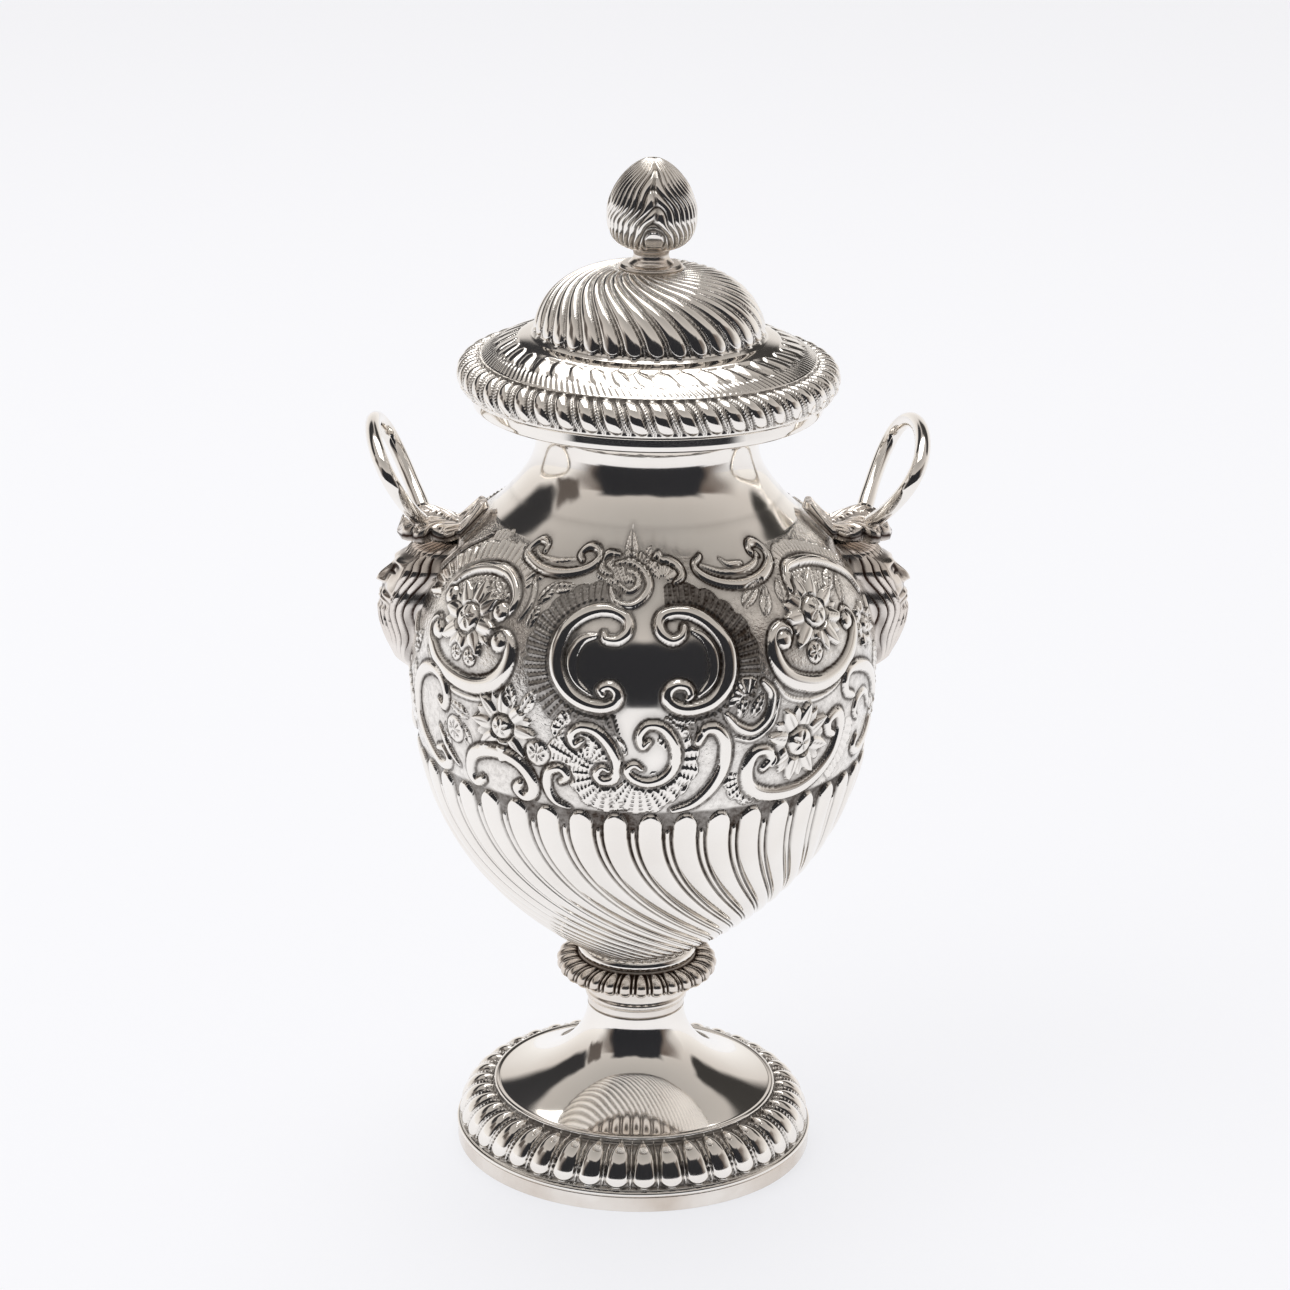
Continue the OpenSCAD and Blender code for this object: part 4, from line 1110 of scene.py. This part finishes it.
# %% [markdown]
# ## The leaves on the shoulder
# An acanthus leaf lies on the shoulder above each mask and carries the loop. It is one closed
# skin: the upper side is a grid of length and width, the under side follows the bowl. The edge
# is scalloped into lobes, each lobe has a vein, and the tip towards the cover stands up a little.

# %% One leaf, its tip towards the axis
def leaf_piece(name, side):
    """s runs from over the mask to the tip, t across. Width = base outline * scallops."""
    rows, cols = 130, 100
    s = np.linspace(0, 1, rows)[:, None]
    t = np.linspace(-1, 1, cols)[None, :]
    x = 47.5 - 17.6 * s + 0 * t
    outline = np.interp(s, [0, 0.05, 0.2, 0.38, 0.5, 0.7, 0.85, 0.95, 1.0],
                        [0.6, 5.0, 8.2, 8.4, 7.6, 6.4, 4.6, 2.6, 0.4])
    notch = 1 - np.abs(np.sin(PI * (3.6 * s + 0.9 * np.abs(t) + 0.5))) ** 0.6
    scallop = 1 - 0.20 * step(0.3, 1.0, np.abs(t)) * notch
    y = outline * scallop * t
    x = x + 1.6 * np.abs(t) ** 1.5 * step(0.1, 0.4, s) * step(1.0, 0.8, s)
    r = np.hypot(x, y)
    on_bowl = np.interp(-r, -shoulder_curve[:, 0], shoulder_curve[:, 1])
    under = np.maximum(on_bowl - 0.6, 127.1)
    body = 1.5 + 2.0 * step(0.0, 0.35, s) * step(0.75, 0.4, s) + 1.2 * step(0.8, 1.0, s)
    ribs = locks(3.6 * s + 0.9 * np.abs(t) + 1.2 * np.abs(t) * (1 - s) + 0.5, 0.6)
    fine = locks(10.8 * s + 2.7 * np.abs(t) + 3.6 * np.abs(t) * (1 - s), 0.7)
    mid = np.exp(-(y / 0.55) ** 2)
    beside = np.exp(-((np.abs(y) - 1.2) / 0.4) ** 2)
    relief = 1.05 * ribs * step(0.1, 0.5, np.abs(t)) + 0.22 * fine + 0.55 * mid - 0.5 * beside
    curl_up = 0.9 * np.abs(t) ** 3 * (0.5 + 0.5 * ribs)
    thick = body * (1 - 0.45 * np.abs(t) ** 2) + relief * step(0, 0.08, s) + curl_up
    thick = thick * dome(t * 0.999) ** 0.35
    top = under + thick * step(-0.05, 0.08, s) * step(1.0, 0.94, s) + 0.02
    seat = np.exp(-((x - 42.7) / 1.8) ** 2 - ((np.abs(y) - 4.7) / 2.0) ** 2)
    top = top + seat * np.clip(130.9 - top, 0, None)
    top = np.minimum(top, 133.5)
    p_top = np.stack([x, y, top], -1)
    p_low = np.stack([x, y, under], -1)[:, ::-1][:, 1:-1]
    p = np.concatenate([p_top, p_low[:, ::8]], 1)
    dark_h = np.hstack([recess(thick, 9, 0.30, False), np.zeros(p_low[:, ::8].shape[:2])])
    if side < 0:
        p = p.copy()
        p[..., 0] *= -1
    else:
        p, dark_h = p[:, ::-1], dark_h[:, ::-1]
    n = grid_normals(p, False, True)
    ends = np.stack([p[0].mean(0), p[-1].mean(0)])
    ends_n = np.array([[side * 1.0, 0, 0], [-side * 1.0, 0, 0]])
    return capped(name, p, n, ends, ends_n, np.append(dark_h.ravel(), [0, 0]))


leaves = [leaf_piece("shoulder_leaf_right_acanthus", 1), leaf_piece("shoulder_leaf_left_acanthus", -1)]

# %% [markdown]
# ## The ring loops
# Each loop is one round rod bent to a pointed ring that leans outwards. A rod is a circle carried
# along a path: at each point of the path two directions across it are worked out, and the circle
# is drawn with them. Both ends stand in the leaf, so round caps close them out of sight.

# %% The two loops
def loop_piece(name, side):
    """Circle of 1.5 mm carried along the ring, which is a little thicker at its feet."""
    a = np.linspace(-2.58, 2.58, 150)
    up, tilt = 11 * np.cos(a), 28 * DEG
    path = np.stack([side * (46.9 + up * math.sin(tilt)), 14 * np.sin(a) * (1 + 0.5 * np.cos(a)),
                     138.164 + up * math.cos(tilt)], 1)
    t = np.gradient(path, axis=0)
    t /= np.linalg.norm(t, axis=1, keepdims=True)
    flat = np.array([math.cos(tilt) * side, 0, -math.sin(tilt)])
    e1 = np.tile(flat, (len(a), 1))
    e2 = np.cross(t, e1)
    rod = 1.5 + 0.15 * step(2.0, 2.4, np.abs(a))
    rod = rod * np.where(np.arange(len(a)) % (len(a) - 1) == 0, 0.6, 1)
    c = np.linspace(0, 2 * PI, 40, endpoint=False)
    circle = np.cos(c)[None, :, None] * e1[:, None] + np.sin(c)[None, :, None] * e2[:, None]
    p = path[:, None] + rod[:, None, None] * circle
    n = grid_normals(p, False, True)
    out = np.einsum("ijk,ijk->", n, p - path[:, None])
    if out < 0:
        p = p[:, ::-1]
        n = grid_normals(p, False, True)
    return capped(name, p, n, path[[0, -1]], np.vstack([-t[:1], t[-1:]]))


loops = [loop_piece("handle_loop_right_rod", 1), loop_piece("handle_loop_left_rod", -1)]

# %% [markdown]
# ## The silver
# Old silver is bright where it is rubbed and dark where polish cannot reach. One node group
# makes that skin for every piece. It takes the recess value stored on the mesh, breaks it up with
# noise, and gives back a colour, a roughness and a normal. The matted ground is a fine
# punched grain, so it comes from a bump that only acts where the ground value is high.

# %% The node group that all the silver shares
def build_skin():
    """Colour, roughness and normal of worked silver from recess, noise and grain."""
    tree = bpy.data.node_groups.new("silver skin", "ShaderNodeTree")
    face = tree.interface
    for label, value in (("Tarnish", 1.0), ("Film", 0.15), ("Roughness", 0.08), ("Grain", 1.0)):
        face.new_socket(label, in_out="INPUT", socket_type="NodeSocketFloat").default_value = value
    for label in ("Bright", "Dark"):
        face.new_socket(label, in_out="INPUT", socket_type="NodeSocketColor")
    face.new_socket("Colour", in_out="OUTPUT", socket_type="NodeSocketColor")
    face.new_socket("Roughness", in_out="OUTPUT", socket_type="NodeSocketFloat")
    face.new_socket("Normal", in_out="OUTPUT", socket_type="NodeSocketVector")
    node, link = tree.nodes.new, tree.links.new
    inp, out = node("NodeGroupInput"), node("NodeGroupOutput")

    def maths(kind, a, b, clamp=False):
        m = node("ShaderNodeMath")
        m.operation, m.use_clamp = kind, clamp
        for socket, value in zip(m.inputs, (a, b)):
            if isinstance(value, (int, float)):
                socket.default_value = value
            else:
                link(value, socket)
        return m.outputs[0]

    def noise(scale, detail, rough=0.55):
        n = node("ShaderNodeTexNoise")
        n.inputs["Scale"].default_value = scale
        n.inputs["Detail"].default_value = detail
        n.inputs["Roughness"].default_value = rough
        link(where.outputs["Object"], n.inputs["Vector"])
        return n.outputs["Fac"]

    def blend(fac, a, b):
        m = node("ShaderNodeMix")
        m.data_type = "RGBA"
        link(fac, m.inputs["Factor"])
        for socket, value in ((m.inputs["A"], a), (m.inputs["B"], b)):
            if isinstance(value, tuple):
                socket.default_value = value
            else:
                link(value, socket)
        return m.outputs["Result"]

    where = node("ShaderNodeTexCoord")
    hollow, ground = node("ShaderNodeAttribute"), node("ShaderNodeAttribute")
    hollow.attribute_name, ground.attribute_name = "hollow", "ground"
    cloud, speck = noise(55, 4), noise(900, 3, 0.7)
    patchy = maths("ADD", maths("MULTIPLY", cloud, 0.9), maths("MULTIPLY", speck, 0.5))
    deep = maths("MULTIPLY", hollow.outputs["Fac"], patchy)
    deep = maths("MULTIPLY", deep, inp.outputs["Tarnish"], True)
    film = maths("SUBTRACT", maths("MULTIPLY", cloud, 2.6), 0.75, True)
    film = maths("MULTIPLY", film, inp.outputs["Film"], True)
    pits = maths("MULTIPLY", maths("SUBTRACT", maths("MULTIPLY", speck, 3.0), 1.25, True),
                 maths("MULTIPLY", ground.outputs["Fac"], inp.outputs["Grain"]), True)
    warm = blend(film, inp.outputs["Bright"], (0.50, 0.385, 0.285, 1))
    grey = blend(maths("MULTIPLY", pits, 0.38), warm, (0.16, 0.14, 0.125, 1))
    link(blend(deep, grey, inp.outputs["Dark"]), out.inputs["Colour"])
    rough = maths("ADD", inp.outputs["Roughness"], maths("MULTIPLY", deep, 0.32))
    rough = maths("ADD", rough, maths("MULTIPLY", film, 0.22))
    rough = maths("ADD", rough, maths("MULTIPLY", ground.outputs["Fac"], 0.10))
    link(rough, out.inputs["Roughness"])
    grain = maths("MULTIPLY", ground.outputs["Fac"], inp.outputs["Grain"])
    grain = maths("MULTIPLY", noise(1500, 2, 0.6), grain)
    soft = maths("MULTIPLY", noise(75, 2), 0.35)
    lift = node("ShaderNodeBump")
    lift.inputs["Strength"].default_value = 0.35
    lift.inputs["Distance"].default_value = 0.00035
    link(maths("ADD", grain, soft), lift.inputs["Height"])
    link(lift.outputs["Normal"], out.inputs["Normal"])
    return tree


skin_group = build_skin()
print("inputs of the skin group:",
      [i.name for i in skin_group.interface.items_tree if i.in_out == "INPUT"])

# %% [markdown]
# ## Finishes
# The same skin gives six finishes. Polished silver is almost clean. Chased silver holds dark
# tarnish in its recesses. Worn and stained silver have a warm film where cloths seldom go, on the
# collar, the knop, the plinth and the finial's neck. Cast silver, for the heads and the leaves, is
# a little greyer with dark hollows. The fastener is plain, duller metal.

# %% Build the finishes
def silver(name, tarnish, film, rough, grain, bright=(0.96, 0.93, 0.885), low=(0.050, 0.036, 0.028)):
    """A metallic shader fed by the shared skin."""
    mat = bpy.data.materials.new(name)
    mat.use_nodes = True
    nodes, links = mat.node_tree.nodes, mat.node_tree.links
    shader = nodes["Principled BSDF"]
    shader.inputs["Metallic"].default_value = 1.0
    group = nodes.new("ShaderNodeGroup")
    group.node_tree = skin_group
    for label, value in (("Tarnish", tarnish), ("Film", film), ("Roughness", rough), ("Grain", grain),
                         ("Bright", bright + (1,)), ("Dark", low + (1,))):
        group.inputs[label].default_value = value
    links.new(group.outputs["Colour"], shader.inputs["Base Color"])
    links.new(group.outputs["Roughness"], shader.inputs["Roughness"])
    links.new(group.outputs["Normal"], shader.inputs["Normal"])
    return mat


polished = silver("silver_polished", 1.0, 0.10, 0.055, 0.0)
chased = silver("silver_chased", 1.25, 0.12, 0.075, 1.0)
worn = silver("silver_worn", 1.3, 0.45, 0.11, 0.0)
stained = silver("silver_stained", 1.5, 0.55, 0.12, 0.0, (0.94, 0.90, 0.85), (0.060, 0.034, 0.022))
cast = silver("silver_cast", 1.5, 0.38, 0.085, 0.0, (0.93, 0.89, 0.85), (0.045, 0.026, 0.020))
fastener = silver("fastener_metal", 0.5, 0.5, 0.28, 0.0, (0.62, 0.60, 0.56))

# %% [markdown]
# ## Dressing the model
# Every piece rides on the vase or on the cover, hides the plain solid that it stands for, and
# takes one finish. The hidden fastener keeps its own solids and only gets a better metal.

# %% Bodies, plain solids, finishes
def dress(piece, body, node, mat):
    """Ride on a body, stand for a plain solid, and take a finish."""
    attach(piece, body)
    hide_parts(node)
    piece.data.materials.append(mat)


for piece in body_pieces:
    dress(piece, "vase", "body_shell", chased)
for piece, node, mat, slot in ((plinth, "plinth_band", stained, "silver_worn"),
                               (wire, "plinth_wire", polished, "silver_polished"),
                               (foot_border, "foot_border", chased, "silver_chased"),
                               (foot_flare, "foot_trumpet", polished, "silver_polished"),
                               (collar, "stem_collar", worn, "silver_worn"),
                               (knop, "knop", stained, "silver_worn"),
                               (dish, "stem_dish", polished, "silver_polished"),
                               (mouth, "mouth_band", polished, "silver_polished"),
                               (masks[0], "mask_right", cast, "silver_chased"),
                               (masks[1], "mask_left", cast, "silver_chased"),
                               (leaves[0], "shoulder_leaf_right", cast, "silver_chased"),
                               (leaves[1], "shoulder_leaf_left", cast, "silver_chased"),
                               (loops[0], "handle_loop_right", polished, "silver_polished"),
                               (loops[1], "handle_loop_left", polished, "silver_polished")):
    dress(piece, "vase", node, mat)
for piece, node, mat, slot in ((cover_rim, "cover_border", chased, "silver_chased"),
                               (cover_dome, "cover_dome", chased, "silver_chased"),
                               (bezel, "cover_bezel", polished, "silver_polished"),
                               (flange, "finial_flange", stained, "silver_worn"),
                               (neck, "finial_neck", stained, "silver_worn"),
                               (bud, "finial_bud", chased, "silver_chased")):
    dress(piece, "cover", node, mat)
for node in ("finial_stud", "finial_washer", "finial_nut"):
    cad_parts[node].data.materials.clear()
    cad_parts[node].data.materials.append(fastener)
meshes = [o.data for o in bpy.context.scene.objects if o.type == "MESH"]
print("pieces:", len(meshes), "triangles:", sum(len(p.vertices) - 2 for m in meshes for p in m.polygons))

# %% [markdown]
# ## The table, the light and the camera
# Silver shows its surroundings more than itself. A pale table that glows a little, and a room that
# is bright at the horizon and darker above, give the bright faces. Five soft-edged cards that only
# reflections can see draw the dark shapes on every curve. Of the two soft lamps, the one at the
# side is not mirrored in the metal.

# %% Table
side_m = 4.0
bpy.ops.mesh.primitive_plane_add(size=1)
table = bpy.context.object
table.name = "table"
table.data.transform(Matrix.Diagonal((2 * side_m, 2 * side_m, 1, 1)))
paint = bpy.data.materials.new("pale table")
paint.use_nodes = True
cloth = paint.node_tree.nodes["Principled BSDF"]
cloth.inputs["Base Color"].default_value = (0.28, 0.283, 0.293, 1)
cloth.inputs["Roughness"].default_value = 0.6
cloth.inputs["Specular IOR Level"].default_value = 0.15
cloth.inputs["Emission Color"].default_value = (0.885, 0.893, 0.925, 1)
cloth.inputs["Emission Strength"].default_value = 0.75
table.data.materials.append(paint)

# %% Cards that only reflections see
def card(name, radius, middle, half_angle, low, high, colour, rough_edge=0.35):
    """A curved upright card about the axis. It fades out at the sides and the top, and a high
    one at its foot as well."""
    a, z = np.linspace(-1, 1, 60)[None, :], np.linspace(-1, 1, 24)[:, None]
    turn_c, rows_c = (middle + half_angle * a) * DEG + 0 * z, (low + high + (high - low) * z) / 2 + 0 * a
    grid_c = np.stack([radius * np.sin(turn_c), -radius * np.cos(turn_c), rows_c], -1)
    wave = 0.05 * np.sin(7 * a + 3 * z + middle) + 0.02 * np.sin(17 * a - 5 * z)
    up_down = step(1.0, 0.80, z + wave) if low < 0.1 else step(1.0, 0.6, np.abs(z) + wave)
    cover = step(1.0, 1 - rough_edge, np.abs(a) + wave) * up_down
    mesh = bpy.data.meshes.new(name)
    mesh.from_pydata(grid_c.reshape(-1, 3).tolist(), [], grid_faces(24, 60).tolist())
    fade = mesh.attributes.new("cover", "FLOAT", "POINT")
    fade.data.foreach_set("value", cover.ravel().astype(np.float32))
    sheet = bpy.data.objects.new(name, mesh)
    bpy.context.scene.collection.objects.link(sheet)
    matt = bpy.data.materials.new(name)
    matt.use_nodes = True
    shade = matt.node_tree.nodes["Principled BSDF"]
    value = matt.node_tree.nodes.new("ShaderNodeAttribute")
    value.attribute_name = "cover"
    shade.inputs["Base Color"].default_value = colour + (1,)
    shade.inputs["Roughness"].default_value = 1.0
    matt.node_tree.links.new(value.outputs["Fac"], shade.inputs["Alpha"])
    mesh.materials.append(matt)
    sheet.visible_camera = sheet.visible_diffuse = False
    sheet.visible_shadow = sheet.visible_transmission = False


card("dark_card", 0.50, 0, 60, -0.02, 0.50, (0.012, 0.013, 0.017), 0.22)
card("brown_card", 0.62, 4, 96, -0.02, 0.48, (0.13, 0.105, 0.09), 0.45)
card("back_left_card", 1.0, -140, 40, 0.40, 1.0, (0.02, 0.02, 0.022), 0.2)
card("back_right_card", 1.0, 144, 36, 0.40, 1.0, (0.03, 0.028, 0.026), 0.2)
card("far_left_card", 0.9, -88, 16, 0.25, 0.85, (0.10, 0.085, 0.075))

# %% Room, lamps and camera
world = bpy.data.worlds.new("room")
bpy.context.scene.world = world
world.use_nodes = True
room, join_room = world.node_tree.nodes, world.node_tree.links
toward, parts_xyz = room.new("ShaderNodeTexCoord"), room.new("ShaderNodeSeparateXYZ")
ramp = room.new("ShaderNodeValToRGB")
join_room.new(toward.outputs["Generated"], parts_xyz.inputs["Vector"])
join_room.new(parts_xyz.outputs["Z"], ramp.inputs["Fac"])
join_room.new(ramp.outputs["Color"], room["Background"].inputs["Color"])
ramp.color_ramp.elements[0].color = (1.0, 0.975, 0.95, 1)
ramp.color_ramp.elements[1].color = (0.42, 0.40, 0.38, 1)
middle_stop = ramp.color_ramp.elements.new(0.42)
middle_stop.color = (0.70, 0.655, 0.62, 1)
room["Background"].inputs["Strength"].default_value = 0.95


def soft_lamp(name, wide, deep, watts, place, mirrored):
    """A flat lamp that looks at the middle of the object. Only a mirrored one shows in the silver."""
    lamp = bpy.data.objects.new(name, bpy.data.lights.new(name, "AREA"))
    bpy.context.scene.collection.objects.link(lamp)
    lamp.data.shape, lamp.data.size, lamp.data.size_y = "RECTANGLE", wide, deep
    lamp.data.energy, lamp.location, lamp.visible_glossy = watts, place, mirrored
    lamp.rotation_euler = (Vector((0, 0, 0.1)) - Vector(place)).to_track_quat("-Z", "Y").to_euler()


soft_lamp("side_lamp", 0.8, 0.8, 4, (-0.75, -0.35, 1.1), False)
soft_lamp("top_lamp", 0.75, 1.1, 5.5, (0.0, 0.42, 1.2), True)
camera = bpy.data.objects.new("camera", bpy.data.cameras.new("camera"))
bpy.context.scene.collection.objects.link(camera)
camera.data.lens, camera.data.sensor_width = 109.45, 36
AROUND, DOWN, ROLL = -4 * DEG, 19.02, 1.19 * DEG
look = Matrix.Rotation(AROUND, 4, "Z") @ Matrix.Rotation((90 - DOWN) * DEG, 4, "X")
look = look @ Matrix.Rotation(ROLL, 4, "Z")
camera.matrix_world = Matrix.Translation((-0.0497, -0.7160, 0.3515)) @ look
bpy.context.scene.camera = camera
bpy.context.scene.view_settings.view_transform = "Standard"
